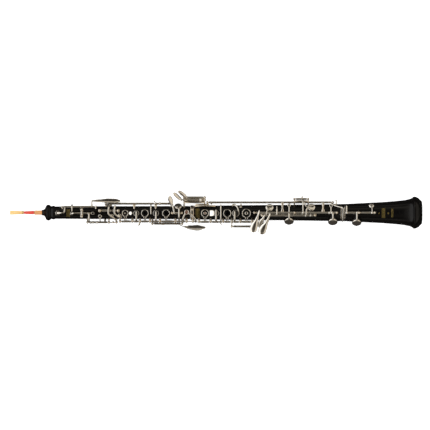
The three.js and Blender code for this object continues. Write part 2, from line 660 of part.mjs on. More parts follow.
add('right_cup_f', cupKey(LINE.rightStack, RIGHT_POSTS, 30.9, 5.8, 29.4));
add('right_ring_d', ringKey(LINE.rightStack, RIGHT_POSTS, 47.3, 7.0));
// A solid rocker that turns on pivot points outside the stack
add('f_link_key', joined([
  roundBar(onLine(LINE.outer, OUTER_PIVOTS[0] + 2.3), onLine(LINE.outer, OUTER_PIVOTS[1] - 2.3), 1.2),
  arm([onLine(LINE.outer, 30.0), at(30.0, -20.4, 6.6)], 1.0),
  arm([onLine(LINE.outer, 50.0), at(50.0, -20.6, 7.2)], 1.0),
]));

// ---- Lower joint: foot keys ---------------------------------------------------------------
const CENTRE_POSTS = [59.7, 121.9, 187.5];
const SIDE_POSTS = [71.2, 153.9];
add('foot_centre_rod', rodOnPosts(LINE.footCentre, CENTRE_POSTS[0], CENTRE_POSTS[2], CENTRE_POSTS));
add('foot_side_rod', rodOnPosts(LINE.footSide, SIDE_POSTS[0], SIDE_POSTS[1], SIDE_POSTS));

// An arm that hooks over the centre rod from the side rod to the upper side
const overCentre = (x) => [onLine(LINE.footSide, x), at(x, -2.6, 21.2), at(x, 2.8, 21.2)];

add('low_c_key', key(LINE.footCentre, ...between(CENTRE_POSTS, 90), [
  touch(at(67.2, 1.6, 19.4), at(58.9, -25.3, 16.2), 3.6, 10.4),
  arm([
    onLine(LINE.footCentre, 113.5), at(113.5, -2.5, 20.6), at(113.5, -8.0, 20.0),
    cupTop(113.5, FOOT_ANGLE, FOOT_LIFT),
  ]),
  cupRound(113.5, FOOT_ANGLE, BIG_CUP_R, FOOT_LIFT),
  arm([onLine(LINE.footCentre, 113.5), at(113.5, 9.0, 15.6)]),
  ring(at(113.5, 11.0, 14.4), Z_AXIS, 2.8, 1.4),
]));
add('e_flat_key', key(LINE.footSide, SIDE_POSTS[0] + END_GAP, 79.6, [
  touch(at(76.2, -5.6, 16.0), at(70.0, -17.0, 12.9), 3.6, 8.0),
  arm([
    onLine(LINE.footSide, 78.4), at(78.6, -2.6, 21.2), at(79.8, 2.8, 21.2),
    cupTop(83.2, SIDE_CUP_ANGLE, SIDE_LIFT),
  ]),
  cupRound(83.2, SIDE_CUP_ANGLE, 6.2, SIDE_LIFT),
]));
add('low_c_sharp_key', key(LINE.footSide, 81.0, SIDE_POSTS[1] - END_GAP, [
  touch(at(84.2, -3.4, 18.0), at(72.3, -28.5, 16.4), 3.8, 12.0),
  arm([...overCentre(94.5), at(94.5, 9.6, 17.0)]),
  arm([...overCentre(140.1), at(141.4, 9.0, 18.4), cupTop(147.9, SIDE_CUP_ANGLE, SIDE_LIFT)]),
  cupRound(147.9, SIDE_CUP_ANGLE, 6.1, SIDE_LIFT),
]));
add('low_b_key', key(LINE.footCentre, ...between(CENTRE_POSTS, 150), [
  arm([onLine(LINE.footCentre, 181.3), at(181.3, -8.0, 18.4), cupTop(181.3, FOOT_ANGLE, FOOT_LIFT)]),
  cupRound(181.3, FOOT_ANGLE, BIG_CUP_R, FOOT_LIFT),
  arm([onLine(LINE.footCentre, 178.4), at(178.4, 8.8, 16.4)]),
  ring(at(178.4, 10.6, 15.6), Z_AXIS, 2.6, 1.3),
  ball(onLine(LINE.footCentre, 175.2), 2.3),
]));

// The short rod of the upper side stands clear over the long link on bent posts
const sideHook = (x) => joined([
  ball(onLine(LINE.upperSide, x), 1.9),
  arm([around(x, woodRadius(x) + GAP, 58), at(x, 17.6, 13.0), onLine(LINE.upperSide, x)], 1.1),
]);
const UPPER_SIDE_POSTS = [121.9, 143.2];
add('upper_side_rod', joined([
  roundBar(...UPPER_SIDE_POSTS.map((x) => onLine(LINE.upperSide, x)), ROD_R),
  ...UPPER_SIDE_POSTS.map(sideHook),
]));
add('upper_side_lever', key(LINE.upperSide, 124.3, 140.8, [
  arm([onLine(LINE.upperSide, 134.8), at(134.8, 19.0, 15.2), at(134.8, 10.0, 20.2), at(134.8, 0.4, 21.6)]),
  ball(at(134.8, -0.2, 21.6), 1.8),
]));

// ---- Bell keys ----------------------------------------------------------------------------
const BELL_POSTS = [222.3, 246.2];
const BELL_ROD_START = 200.6;
add('bell_rod', rodOnPosts(LINE.bell, BELL_ROD_START, BELL_POSTS[1], BELL_POSTS));
add('low_b_flat_key', key(LINE.bell, BELL_ROD_START + 0.6, BELL_POSTS[0] - END_GAP, [
  arm([onLine(LINE.bell, 202.6), at(202.6, 4.0, 20.4), at(202.6, 10.0, 17.6)]),
  arm([onLine(LINE.bell, 218.4), at(218.4, -8.8, 19.6), cupTop(218.4, BELL_CUP_ANGLE, FOOT_LIFT)]),
  cupRound(218.4, BELL_CUP_ANGLE, BIG_CUP_R, FOOT_LIFT),
]));
add('bell_vent_key', key(LINE.bell, BELL_POSTS[0] + END_GAP, BELL_POSTS[1] - END_GAP, [
  arm([onLine(LINE.bell, 242.0), at(241.6, 6.0, 19.6), cupTop(241.2, 40)]),
  cupRound(241.2, 40, 4.3),
]));

export default group;
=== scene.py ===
import json
import math

import bmesh
import bpy
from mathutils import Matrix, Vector

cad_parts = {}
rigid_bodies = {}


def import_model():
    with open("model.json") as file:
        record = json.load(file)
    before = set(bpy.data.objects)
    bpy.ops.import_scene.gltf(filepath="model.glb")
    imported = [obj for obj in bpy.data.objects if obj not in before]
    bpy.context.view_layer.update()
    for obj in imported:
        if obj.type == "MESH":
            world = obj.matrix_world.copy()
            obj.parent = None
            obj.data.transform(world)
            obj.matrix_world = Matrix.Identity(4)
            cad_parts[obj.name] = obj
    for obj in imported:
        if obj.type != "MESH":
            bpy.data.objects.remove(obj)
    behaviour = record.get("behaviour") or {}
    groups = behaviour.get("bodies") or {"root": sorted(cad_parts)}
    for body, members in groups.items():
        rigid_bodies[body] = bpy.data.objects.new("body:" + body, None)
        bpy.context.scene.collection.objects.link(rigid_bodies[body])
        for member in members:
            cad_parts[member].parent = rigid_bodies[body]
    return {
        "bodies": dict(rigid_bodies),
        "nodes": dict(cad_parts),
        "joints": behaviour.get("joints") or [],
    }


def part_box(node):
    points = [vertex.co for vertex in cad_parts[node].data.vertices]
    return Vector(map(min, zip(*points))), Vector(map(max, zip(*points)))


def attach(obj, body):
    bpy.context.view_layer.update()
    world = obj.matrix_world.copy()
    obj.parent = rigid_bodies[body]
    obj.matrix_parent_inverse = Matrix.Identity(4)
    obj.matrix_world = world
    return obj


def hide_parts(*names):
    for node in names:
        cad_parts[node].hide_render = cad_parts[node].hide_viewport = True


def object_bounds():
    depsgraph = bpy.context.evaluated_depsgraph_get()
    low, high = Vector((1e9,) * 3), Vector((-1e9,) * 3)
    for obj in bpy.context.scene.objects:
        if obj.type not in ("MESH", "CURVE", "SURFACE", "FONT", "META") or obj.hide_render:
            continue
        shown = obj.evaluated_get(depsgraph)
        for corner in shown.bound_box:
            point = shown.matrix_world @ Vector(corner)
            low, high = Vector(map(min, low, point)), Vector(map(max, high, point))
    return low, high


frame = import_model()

# An oboe lying on its back. Shapes are made in millimetres round the bore axis (x from the reed to the
# bell, y towards the left little finger's levers, z out of the tone-hole side) and written in metres.
cad_low, cad_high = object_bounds()
MM = 0.001
bell_low, bell_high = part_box("bell")
AXIS_Z = (bell_low.z + bell_high.z) / 2 / MM     # height of the bore axis over the floor


def V(x, y, z):
    return Vector((x, y, z))


BORE = V(1, 0, 0)
UP = V(0, 0, 1)


def around(x, radius, degrees):
    """A point round the bore, its angle measured from the front towards +Y."""
    a = math.radians(degrees)
    return V(x, radius * math.sin(a), radius * math.cos(a))


# ---- Hinge lines, from the frame ----
def hinge_line(key):
    joint = next(j for j in frame["joints"] if j["name"] == key + "_hinge")
    _, y, z = joint["pos_m"]
    return y / MM, z / MM - AXIS_Z


LINE = {key: hinge_line(key) for key in frame["bodies"] if key not in ("root", "reed")}


def on(key, x):
    """The place at x on a key's hinge line."""
    y, z = LINE[key]
    return V(x, y, z)


# ---- Wood profiles ----
def smooth(points, steps=5):
    """A Catmull-Rom run through given [x, radius] points."""
    ends = [points[0]] + list(points) + [points[-1]]
    run = []
    for i in range(1, len(ends) - 2):
        p0, p1, p2, p3 = (Vector(p) for p in ends[i - 1:i + 3])
        for k in range(steps):
            t = k / steps
            run.append(0.5 * (2 * p1 + (p2 - p0) * t + (2 * p0 - 5 * p1 + 4 * p2 - p3) * t * t
                              + (3 * p1 - p0 - 3 * p2 + p3) * t ** 3))
    run.append(Vector(points[-1]))
    return run


UPPER_RUN = (
    smooth([(-270.3, 4.4), (-268.2, 4.6), (-266.6, 5.5), (-265.2, 7.6), (-264.2, 10.0)])
    + smooth([(-264.0, 10.3), (-262.7, 11.9), (-260.4, 12.4), (-258.2, 11.8), (-256.3, 10.1)])
    + smooth([(-256.1, 9.7), (-254.6, 10.1), (-252.8, 10.7), (-251.0, 10.5), (-249.8, 9.6)])
    + [Vector(p) for p in ((-230.0, 9.7), (-180.0, 9.95), (-110.0, 10.1), (-40.4, 10.25), (-39.9, 9.9))]
)
LOWER_RUN = [Vector(p) for p in ((-34.2, 10.2), (-33.8, 10.7), (-24.7, 10.75), (-24.1, 10.8),
                                 (20.0, 11.25), (65.0, 11.7), (107.5, 12.1), (150.0, 12.7),
                                 (192.6, 13.35), (193.4, 13.0))]
BELL_RUN = (
    smooth([(200.9, 13.1), (201.6, 13.5), (218.0, 14.3), (235.0, 15.2), (263.0, 16.7), (286.3, 18.7),
            (294.0, 19.7), (301.1, 21.2), (305.0, 22.9), (307.2, 24.9)], 4)
    + smooth([(307.6, 25.0), (309.6, 24.9), (312.6, 23.9), (315.4, 22.0), (317.8, 19.6), (319.4, 18.2),
              (320.1, 17.2), (320.0, 16.5)], 4)
)


def wood_radius(x):
    if -39.6 < x < -34.4:
        return 11.15
    run = UPPER_RUN if x < -37 else LOWER_RUN if x < 197 else BELL_RUN
    for a, b in zip(run, run[1:]):
        if a.x <= x <= b.x and b.x > a.x:
            return a.y + (b.y - a.y) * (x - a.x) / (b.x - a.x)
    return run[0].y if x < run[0].x else run[-1].y


# ---- Shape making ----
class Shape:
    """Collects closed shells into one mesh."""

    def __init__(self):
        self.points = []
        self.faces = []

    def shell(self, rings, closed=False):
        """Joins rings of points into a skin. A ring of one point is a pole; open ends are capped."""
        index = []
        for ring in rings:
            index.append(range(len(self.points), len(self.points) + len(ring)))
            self.points.extend(ring)
        pairs = list(zip(index, index[1:]))
        if closed:
            pairs.append((index[-1], index[0]))
        for a, b in pairs:
            n = max(len(a), len(b))
            for k in range(n):
                j = (k + 1) % n
                if len(a) == 1:
                    self.faces.append((a[0], b[k], b[j]))
                elif len(b) == 1:
                    self.faces.append((a[k], b[0], a[j]))
                else:
                    self.faces.append((a[k], b[k], b[j], a[j]))
        if not closed:
            for ring in (index[0], index[-1]):
                if len(ring) > 2:
                    self.faces.append(tuple(ring))
        return self

    def turned(self, profile, origin=V(0, 0, 0), axis=BORE, sides=24, closed=False):
        """A body of revolution: the profile lists (distance along the axis, radius)."""
        axis = axis.normalized()
        side = axis.orthogonal().normalized()
        other = axis.cross(side)
        rings = []
        for along, radius in profile:
            centre = origin + axis * along
            if radius < 1e-4:
                rings.append([centre])
                continue
            rings.append([
                centre + (side * math.cos(t) + other * math.sin(t)) * radius
                for t in (2 * math.pi * k / sides for k in range(sides))
            ])
        return self.shell(rings, closed)

    def bar(self, route, widths, heights, up=None, power=2.6, sides=12, steps=5, crown=0.0):
        """A bar swept through the route's points, its width and height given at each point."""
        stations = sampled(route, widths, heights, steps)
        rings = []
        last_side = None
        for i, (p, w, h) in enumerate(stations):
            before = stations[max(i - 1, 0)][0]
            after = stations[min(i + 1, len(stations) - 1)][0]
            run = (after - before).normalized()
            lift = up if up is not None else V(0, p.y, p.z).normalized()
            side = lift.cross(run)
            if side.length < 0.25 and last_side is not None:
                side = last_side - run * last_side.dot(run)
            elif side.length < 0.05:
                side = BORE - run * run.x
            side.normalize()
            if last_side is not None and side.dot(last_side) < 0:
                side = -side
            last_side = side
            normal = run.cross(side)
            rings.append((p, run, side, normal, w / 2, h / 2))
        tips = []
        for end, sign in ((0, -1), (-1, 1)):
            p, run, side, normal, w, h = rings[end]
            extra = []
            for t in (0.38, 0.7, 0.92):
                k = math.sqrt(1 - t * t)
                extra.append((p + run * sign * max(w, h) * t, run, side, normal, w * k,
                              h * (0.55 + 0.45 * k)))
            tips.append(extra)
        rings = tips[0][::-1] + rings + tips[1]
        return self.shell([[section_point(p, side, normal, w, h, 2 * math.pi * k / sides, power,
                                          crown) for k in range(sides)] for p, _, side, normal, w,
                                          h in rings ])

    def ball(self, centre, radius, axis=UP, sides=20):
        half = 9
        profile = [(-radius * math.cos(math.pi * k / half), radius * math.sin(math.pi * k / half))
                   for k in range(half + 1)]
        return self.turned(profile, centre, axis, sides)


def section_point(p, side, normal, w, h, angle, power, crown):
    c, s = math.cos(angle), math.sin(angle)
    u = math.copysign(abs(c) ** (2 / power), c)
    v = math.copysign(abs(s) ** (2 / power), s)
    return p + side * (w * u) + normal * (h * v - crown * u * u)


def sampled(route, widths, heights, steps):
    """Catmull-Rom samples of a route, with its widths and heights eased between the points."""
    if isinstance(widths, (int, float)):
        widths = [widths] * len(route)
    if isinstance(heights, (int, float)):
        heights = [heights] * len(route)
    out = []
    for i in range(len(route) - 1):
        p0, p1, p2, p3 = (route[min(max(k, 0), len(route) - 1)] for k in (i - 1, i, i + 1, i + 2))
        for k in range(steps):
            t = k / steps
            e = t * t * (3 - 2 * t)
            out.append((
                0.5 * (2 * p1 + (p2 - p0) * t + (2 * p0 - 5 * p1 + 4 * p2 - p3) * t * t
                       + (3 * p1 - p0 - 3 * p2 + p3) * t ** 3),
                widths[i] + (widths[i + 1] - widths[i]) * e,
                heights[i] + (heights[i + 1] - heights[i]) * e,
            ))
    out.append((route[-1], widths[-1], heights[-1]))
    return out


# ---- Finishes ----
def new_material(name, colour, metallic, roughness, **sockets):
    material = bpy.data.materials.new(name)
    material.use_nodes = True
    shader = material.node_tree.nodes["Principled BSDF"]
    shader.inputs["Base Color"].default_value = (*colour, 1)
    shader.inputs["Metallic"].default_value = metallic
    shader.inputs["Roughness"].default_value = roughness
    for socket, value in sockets.items():
        shader.inputs[socket.replace("_", " ")].default_value = value
    return material, material.node_tree, shader


def add(tree, kind, **values):
    node = tree.nodes.new("ShaderNode" + kind)
    for socket, value in values.items():
        node.inputs[socket].default_value = value
    return node


def noise(tree, scale, stretch=(1, 1, 1), detail=4.0, roughness=0.6):
    """Noise over the piece's own place in metres, stretched along the axes."""
    mapping = add(tree, "Mapping", Scale=stretch)
    texture = add(tree, "TexNoise", Scale=scale, Detail=detail, Roughness=roughness)
    tree.links.new(add(tree, "TexCoord").outputs["Object"], mapping.inputs["Vector"])
    tree.links.new(mapping.outputs["Vector"], texture.inputs["Vector"])
    return texture.outputs["Fac"]


def ramp(tree, factor, stops):
    node = add(tree, "ValToRGB")
    band = node.color_ramp
    while len(band.elements) < len(stops):
        band.elements.new(0.5)
    for element, (place, colour) in zip(band.elements, stops):
        element.position = place
        element.color = (*colour, 1) if isinstance(colour, tuple) else (colour, colour, colour, 1)
    tree.links.new(factor, node.inputs["Fac"])
    return node.outputs["Color"]


def paint(tree, shader, factor, stops, socket="Base Color"):
    """Colours a socket by a ramp over a factor."""
    tree.links.new(ramp(tree, factor, stops), shader.inputs[socket])


def bump(tree, shader, height, distance, strength):
    node = add(tree, "Bump", Distance=distance, Strength=strength)
    tree.links.new(height, node.inputs["Height"])
    tree.links.new(node.outputs["Normal"], shader.inputs["Normal"])


def plated(name, colour, roughness, tarnish):
    """Polished silver plate, with a faint warm bloom and fine rubbing marks."""
    material, tree, shader = new_material(name, colour, 1.0, roughness)
    bloom = noise(tree, 160, detail=3)
    warm = tuple(c * k for c, k in zip(colour, tarnish))
    paint(tree, shader, bloom, [(0.35, warm), (0.62, colour)])
    rubbed = noise(tree, 900, (1, 3, 3), 5)
    paint(tree, shader, rubbed, [(0.3, roughness * 0.75), (0.75, roughness * 1.5)], "Roughness")
    bump(tree, shader, noise(tree, 420, (1, 2, 2), 2), 0.00001, 0.3)
    return material


def blackwood():
    """Oiled near-black hardwood: fine pores and brownish streaks along the grain."""
    material, tree, shader = new_material("blackwood", (0.003, 0.003, 0.003), 0.0, 0.2,
                                          Specular_IOR_Level=0.22)
    streaks = noise(tree, 260, (0.06, 1, 1), 6, 0.65)
    paint(tree, shader, streaks, [(0.30, (0.0014, 0.0013, 0.0013)), (0.55, (0.0024, 0.0021, 0.0019)),
                                  (0.78, (0.0060, 0.0042, 0.0032)), ])
    pores = noise(tree, 1500, (0.05, 1, 1), 3, 0.5)
    paint(tree, shader, pores, [(0.35, 0.24), (0.60, 0.14)], "Roughness")
    bump(tree, shader, pores, 0.00004, 0.25)
    return material


def cork(name, dark, light):
    material, tree, shader = new_material(name, light, 0.0, 0.85, Specular_IOR_Level=0.2)
    cells = add(tree, "TexVoronoi", Scale=1300)
    tree.links.new(add(tree, "TexCoord").outputs["Object"], cells.inputs["Vector"])
    pale = tuple(1.2 * c for c in light)
    paint(tree, shader, noise(tree, 700, detail=5), [(0.30, dark), (0.48, light), (0.75, pale)])
    bump(tree, shader, cells.outputs["Distance"], 0.00012, 0.6)
    return material


def cane():
    """Scraped cane with long fibres along its length."""
    material, tree, shader = new_material("cane", (0.72, 0.48, 0.20), 0.0, 0.55, Specular_IOR_Level=0.35,
                                          Subsurface_Weight=0.15, Subsurface_Scale=0.0006)
    fibres = noise(tree, 900, (0.05, 1, 1), 5)
    paint(tree, shader, fibres, [(0.3, (0.60, 0.36, 0.13)), (0.6, (0.80, 0.55, 0.24)),
                                 (0.8, (0.88, 0.66, 0.34))])
    bump(tree, shader, fibres, 0.00005, 0.5)
    return material


def thread():
    material, tree, shader = new_material("thread", (0.66, 0.05, 0.025), 0.0, 0.5, Sheen_Weight=0.3)
    fluff = noise(tree, 2500, detail=3)
    paint(tree, shader, fluff, [(0.3, (0.42, 0.02, 0.012)), (0.65, (0.78, 0.075, 0.035))])
    bump(tree, shader, fluff, 0.00005, 0.5)
    return material


def gilt():
    """Dull gold leaf, worn thin in places, for the plain marks."""
    material, tree, shader = new_material("gilt", (0.36, 0.27, 0.09), 1.0, 0.42)
    wear = noise(tree, 1500, detail=4)
    paint(tree, shader, wear, [(0.35, (0.10, 0.075, 0.03)), (0.55, (0.42, 0.32, 0.11))])
    bump(tree, shader, wear, 0.00003, 0.5)
    return material


def inlay():
    """A reddish-brown domed inlay with a soft, cloudy figure."""
    material, tree, shader = new_material("inlay", (0.16, 0.06, 0.03), 0.0, 0.22, Coat_Weight=0.4)
    cloud = noise(tree, 500, detail=4)
    paint(tree, shader, cloud, [(0.35, (0.07, 0.028, 0.018)), (0.65, (0.17, 0.09, 0.06))])
    bump(tree, shader, cloud, 0.00002, 0.3)
    return material


FINISH = {
    "keys": plated("key_plate", (0.90, 0.87, 0.82), 0.08, (0.95, 0.91, 0.85)),
    "posts": plated("post_plate", (0.86, 0.80, 0.71), 0.11, (0.89, 0.81, 0.70)),
    "rings": plated("ring_plate", (0.86, 0.81, 0.74), 0.10, (0.92, 0.85, 0.76)),
    "steel": plated("blued_steel", (0.16, 0.18, 0.24), 0.25, (0.7, 0.7, 0.8)),
    "staple": plated("staple_brass", (0.62, 0.44, 0.17), 0.28, (0.85, 0.75, 0.6)),
    "blackwood": blackwood(),
    "cork": cork("cork", (0.36, 0.15, 0.06), (0.56, 0.28, 0.12)),
    "pad": cork("pad_cork", (0.34, 0.22, 0.12), (0.62, 0.46, 0.30)),
    "cane": cane(),
    "thread": thread(),
    "gilt": gilt(),
    "pearl": inlay(),
}


def build(name, shape, finish, body="root", replaces=(), sharp=38):
    """Turns a shape into a piece that rides on a body."""
    mesh = bpy.data.meshes.new(name)
    mesh.from_pydata([(p.x * MM, p.y * MM, (p.z + AXIS_Z) * MM) for p in shape.points], [], shape.faces)
    work = bmesh.new()
    work.from_mesh(mesh)
    bmesh.ops.recalc_face_normals(work, faces=work.faces)
    work.to_mesh(mesh)
    work.free()
    mesh.materials.append(FINISH[finish])
    piece = bpy.data.objects.new(name, mesh)
    bpy.context.scene.collection.objects.link(piece)
    mesh.shade_smooth()
    mesh.set_sharp_from_angle(angle=math.radians(sharp))
    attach(piece, body)
    if replaces:
        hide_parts(*replaces)
    return piece


# ---- Floor, light and camera ----
FLOOR_HALF, FLOOR_DEPTH = 4000, 20
FLOOR_GLOW = 0.55
ROOM_BRIGHTNESS = 1.65
BLACK = (0.02, 0.018, 0.016)
DEEP = (0.010, 0.009, 0.008)
DUSK = (0.05, 0.044, 0.036)
WARM = (0.26, 0.245, 0.22)
CREAM = (0.40, 0.37, 0.31)
HIGHEST = (0.012, 0.011, 0.010)

# What polished metal mirrors, from one end of the instrument's length to the other.
ALONG = [(0.0, (0.2, 0.2, 0.19)), (0.08, (0.84, 0.84, 0.83)), (0.27, (0.80, 0.80, 0.78)),
         (0.35, (0.20, 0.185, 0.16)), (0.42, HIGHEST), (0.58, HIGHEST), (0.64, (0.11, 0.095, 0.08)),
         (0.72, (0.44, 0.40, 0.34)), (0.90, (0.48, 0.44, 0.37)), (1.0, (0.16, 0.15, 0.13))]
# And from one side to the other.
ACROSS = [
    (0.0, WARM), (0.035, (0.24, 0.225, 0.20)), (0.05, BLACK), (0.12, BLACK), (0.20, (0.14, 0.125, 0.10)),
    (0.28, DUSK), (0.42, DEEP), (0.58, DEEP), (0.72, DUSK), (0.80, (0.18, 0.165, 0.135)), (0.87, CREAM),
    (0.922, CREAM), (0.936, BLACK), (0.970, BLACK), (0.980, (0.34, 0.32, 0.28)), (1.0, WARM)]


def lay_floor():
    """A pale floor that glows softly, and that polished metal sees as dark."""
    slab = Shape()
    corners = ((-1, -1), (1, -1), (1, 1), (-1, 1))
    slab.shell([[V(x * FLOOR_HALF, y * FLOOR_HALF, z) for x, y in corners] for z in (0, -FLOOR_DEPTH)])
    mesh = bpy.data.meshes.new("floor")
    mesh.from_pydata([p * MM for p in slab.points], [], slab.faces)
    floor = bpy.data.objects.new("floor", mesh)
    bpy.context.scene.collection.objects.link(floor)
    material, tree, shader = new_material("pale_floor", (0.92, 0.92, 0.92), 0.0, 0.9)
    paint(tree, shader, noise(tree, 3), [(0.3, (0.915, 0.915, 0.915)), (0.7, (0.93, 0.93, 0.93))])
    mesh.materials.append(material)
    dim = add(tree, "BsdfDiffuse", Color=(0.035, 0.032, 0.028, 1))
    glow = add(tree, "Emission", Color=(1, 1, 1, 1), Strength=FLOOR_GLOW)
    lit = add(tree, "AddShader")
    tree.links.new(shader.outputs["BSDF"], lit.inputs[0])
    tree.links.new(glow.outputs["Emission"], lit.inputs[1])
    mirrored_as(tree, lit.outputs["Shader"], dim.outputs["BSDF"], "Material Output")


def light_room():
    """Even white light from all round; polished metal sees a room with bright ends and sides instead."""
    world = bpy.data.worlds.new("studio")
    bpy.context.scene.world = world
    world.use_nodes = True
    tree = world.node_tree
    fill = tree.nodes["Background"]
    fill.inputs["Color"].default_value = (1, 1, 1, 1)
    fill.inputs["Strength"].default_value = 0.6
    room = add(tree, "Background")
    split = add(tree, "SeparateXYZ")
    tree.links.new(add(tree, "TexCoord").outputs["Generated"], split.inputs["Vector"])
    both = add(tree, "Mix", Factor=1.0)
    both.data_type = "RGBA"
    both.blend_type = "LIGHTEN"
    for axis, stops, side in (("X", ALONG, "A"), ("Y", ACROSS, "B")):
        place = math_node(tree, "MULTIPLY_ADD", split.outputs[axis], 0.5, 0.5)
        tree.links.new(ramp(tree, place, stops), both.inputs[side])
    tree.links.new(both.outputs["Result"], room.inputs["Color"])
    rise = ramp(tree, split.outputs["Z"], [(0.0, 0.06), (0.12, 0.8), (0.2, 1.0)])
    tree.links.new(math_node(tree, "MULTIPLY", rise, ROOM_BRIGHTNESS), room.inputs["Strength"])
    mirrored_as(tree, fill.outputs["Background"], room.outputs["Background"], "World Output")


def math_node(tree, operation, value, *others):
    node = add(tree, "Math")
    node.operation = operation
    tree.links.new(value, node.inputs[0])
    for i, other in enumerate(others):
        node.inputs[i + 1].default_value = other
    return node.outputs["Value"]


def mirrored_as(tree, usual, mirrored, output):
    """Shows one shader in mirror reflections, and the usual one to everything else."""
    mix = add(tree, "MixShader")
    tree.links.new(add(tree, "LightPath").outputs["Is Glossy Ray"], mix.inputs["Fac"])
    tree.links.new(usual, mix.inputs[1])
    tree.links.new(mirrored, mix.inputs[2])
    tree.links.new(mix.outputs["Shader"], tree.nodes[output].inputs["Surface"])


def softbox():
    """A wide lamp overhead that leaves no bright patch in the metal."""
    light = bpy.data.lights.new("overhead", "AREA")
    light.shape = "RECTANGLE"
    light.size, light.size_y = 2.6, 2.0
    light.energy = 105
    lamp = bpy.data.objects.new("overhead", light)
    bpy.context.scene.collection.objects.link(lamp)
    lamp.location = (-0.2, 0.1, 3.4)
    lamp.rotation_euler = (-lamp.location).to_track_quat("-Z", "Y").to_euler()
    lamp.visible_camera = False
    lamp.visible_glossy = False


def camera():
    data = bpy.data.cameras.new("view")
    view = bpy.data.objects.new("view", data)
    bpy.context.scene.collection.objects.link(view)
    length = cad_high.x - cad_low.x
    distance = 8.0 * length
    field_width = 1.044 * length
    data.sensor_width = 36
    data.lens = data.sensor_width * distance / field_width
    view.location = (-0.0022 * length, -0.0058 * length, AXIS_Z * MM + distance)
    view.rotation_euler = (0, 0, 0)
    data.clip_end = 30
    bpy.context.scene.camera = view


bpy.context.scene.view_settings.view_transform = "Standard"
lay_floor()
light_room()
softbox()
camera()


# ---- Wood ----
SIDE_ANGLE, FOOT_ANGLE, BELL_ANGLE = 32, -52, -54
G_SHARP_HOLE, E_FLAT_HOLE, LOW_C_HOLE = -58.5, 83.2, 113.5
C_SHARP_HOLE, LOW_B_HOLE, B_FLAT_HOLE = 147.9, 181.3, 218.4
# Tone holes: place along the bore, angle round it, radius.
SMALL_HOLES = [(-245.8, -3, 0.9), (-224.2, -7, 0.9), (-161.5, -24, 1.6), (-149.6, -23, 1.6)]
HALF_HOLE = -140.7
RING_HOLES = [(HALF_HOLE, -5, 1.5), (-110.2, -5, 2.3), (-77.4, -5, 2.4), (-16.9, -4, 2.3), (17.6, -4, 2.8),
              (47.3, -5, 2.6)]
CUP_HOLES = [(-123.5, -5, 1.6), (-93.1, -5, 2.0), (G_SHARP_HOLE, 47, 2.2), (0.2, -5, 2.4), (30.9, -4, 2.8),
             (E_FLAT_HOLE, SIDE_ANGLE, 3.2), (LOW_C_HOLE, FOOT_ANGLE, 3.8), (C_SHARP_HOLE, SIDE_ANGLE, 3.4),
             (LOW_B_HOLE, FOOT_ANGLE, 4.0), (B_FLAT_HOLE, BELL_ANGLE, 4.0), (241.2, 40, 2.0)]
BORE_TOP, BORE_MIDDLE, BORE_FOOT, WELL = 2.1, 3.5, 6.6, 3.75
WOOD_EDGE = 32           # degrees between two faces of a sharp edge
# Raised seats, by their holes: height over the wood, and radius of the flat.
SEAT_RISE = {G_SHARP_HOLE: 1.8, E_FLAT_HOLE: 1.2, C_SHARP_HOLE: 1.2,
             LOW_C_HOLE: 2.3, LOW_B_HOLE: 2.3, B_FLAT_HOLE: 2.3}
SEAT_FLAT = {G_SHARP_HOLE: 4.6, E_FLAT_HOLE: 4.9, C_SHARP_HOLE: 4.9,
             LOW_C_HOLE: 5.8, LOW_B_HOLE: 5.8, B_FLAT_HOLE: 5.8}


def seat(shape, x, degrees, radius, rise, flat):
    """A raised, flat-topped seat of wood round a tone hole."""
    foot = around(x, wood_radius(x) - 2.4, degrees)
    height = 2.4 + rise
    shape.turned([(0, radius), (0, flat + 0.5), (height - 0.5, flat + 0.3), (height - 0.12, flat),
                  (height, flat - 0.3), (height, radius + 0.2), (height - 0.2, radius)], foot,
                  around(0, 1, degrees), 32, closed=True)


def wooden(node, profile, holes):
    """A turned piece of wood with its tone holes drilled through the wall."""
    name = node + "_wood"
    body = Shape().turned(profile, sides=144, closed=True)
    piece = build(name, body, "blackwood", "root", [node], WOOD_EDGE)
    cutter = Shape()
    for x, degrees, radius in holes:
        cutter.turned([(3.0, 0), (3.0, radius), (32.0, radius), (32.0, 0)], around(x, 0.001, degrees),
                      around(0, 1, degrees), 28)
    tool = build(name + "_cutter", cutter, "blackwood")
    cut = piece.modifiers.new("holes", "BOOLEAN")
    cut.object = tool
    cut.operation = "DIFFERENCE"
    cut.solver = "EXACT"
    depsgraph = bpy.context.evaluated_depsgraph_get()
    mesh = bpy.data.meshes.new_from_object(piece.evaluated_get(depsgraph))
    piece.modifiers.remove(cut)
    old = piece.data
    piece.data = mesh
    bpy.data.meshes.remove(old)
    bpy.data.objects.remove(tool)
    mesh.set_sharp_from_angle(angle=math.radians(WOOD_EDGE))


def holes_between(low, high):
    return [h for h in SMALL_HOLES + RING_HOLES + CUP_HOLES if low < h[0] < high]


upper_profile = [tuple(p) for p in UPPER_RUN] + [(-39.9, 7.6), (-18.3, 7.6), (-18.0, 7.3),
                                                 (-18.0, BORE_MIDDLE), (-251.0, BORE_TOP), (-251.0, WELL),
                                                 (-270.0, WELL), (-270.3, WELL + 0.25)]
lower_profile = [tuple(p) for p in LOWER_RUN] + [(193.4, 10.2), (213.6, 10.2), (214.0, 9.8),
                                                 (214.0, BORE_FOOT), (-17.5, BORE_MIDDLE), (-17.5, 8.65),
                                                 (-34.2, 8.65)]
bell_profile = [tuple(p) for p in BELL_RUN] + [(p.x,
                                                p.y) for p in smooth([(318.6, 16.0), (306.0, 14.4),
                                                                      (284.0, 11.4), (255.0, 9.0),
                                                                      (216.0, 7.0)],
                                                                      3)] + [(216.0, 11.3), (200.9, 11.3)]
wooden("upper_joint", upper_profile, holes_between(-260, -40))
wooden("lower_joint", lower_profile, holes_between(-30, 190))
wooden("bell", bell_profile, holes_between(200, 300))

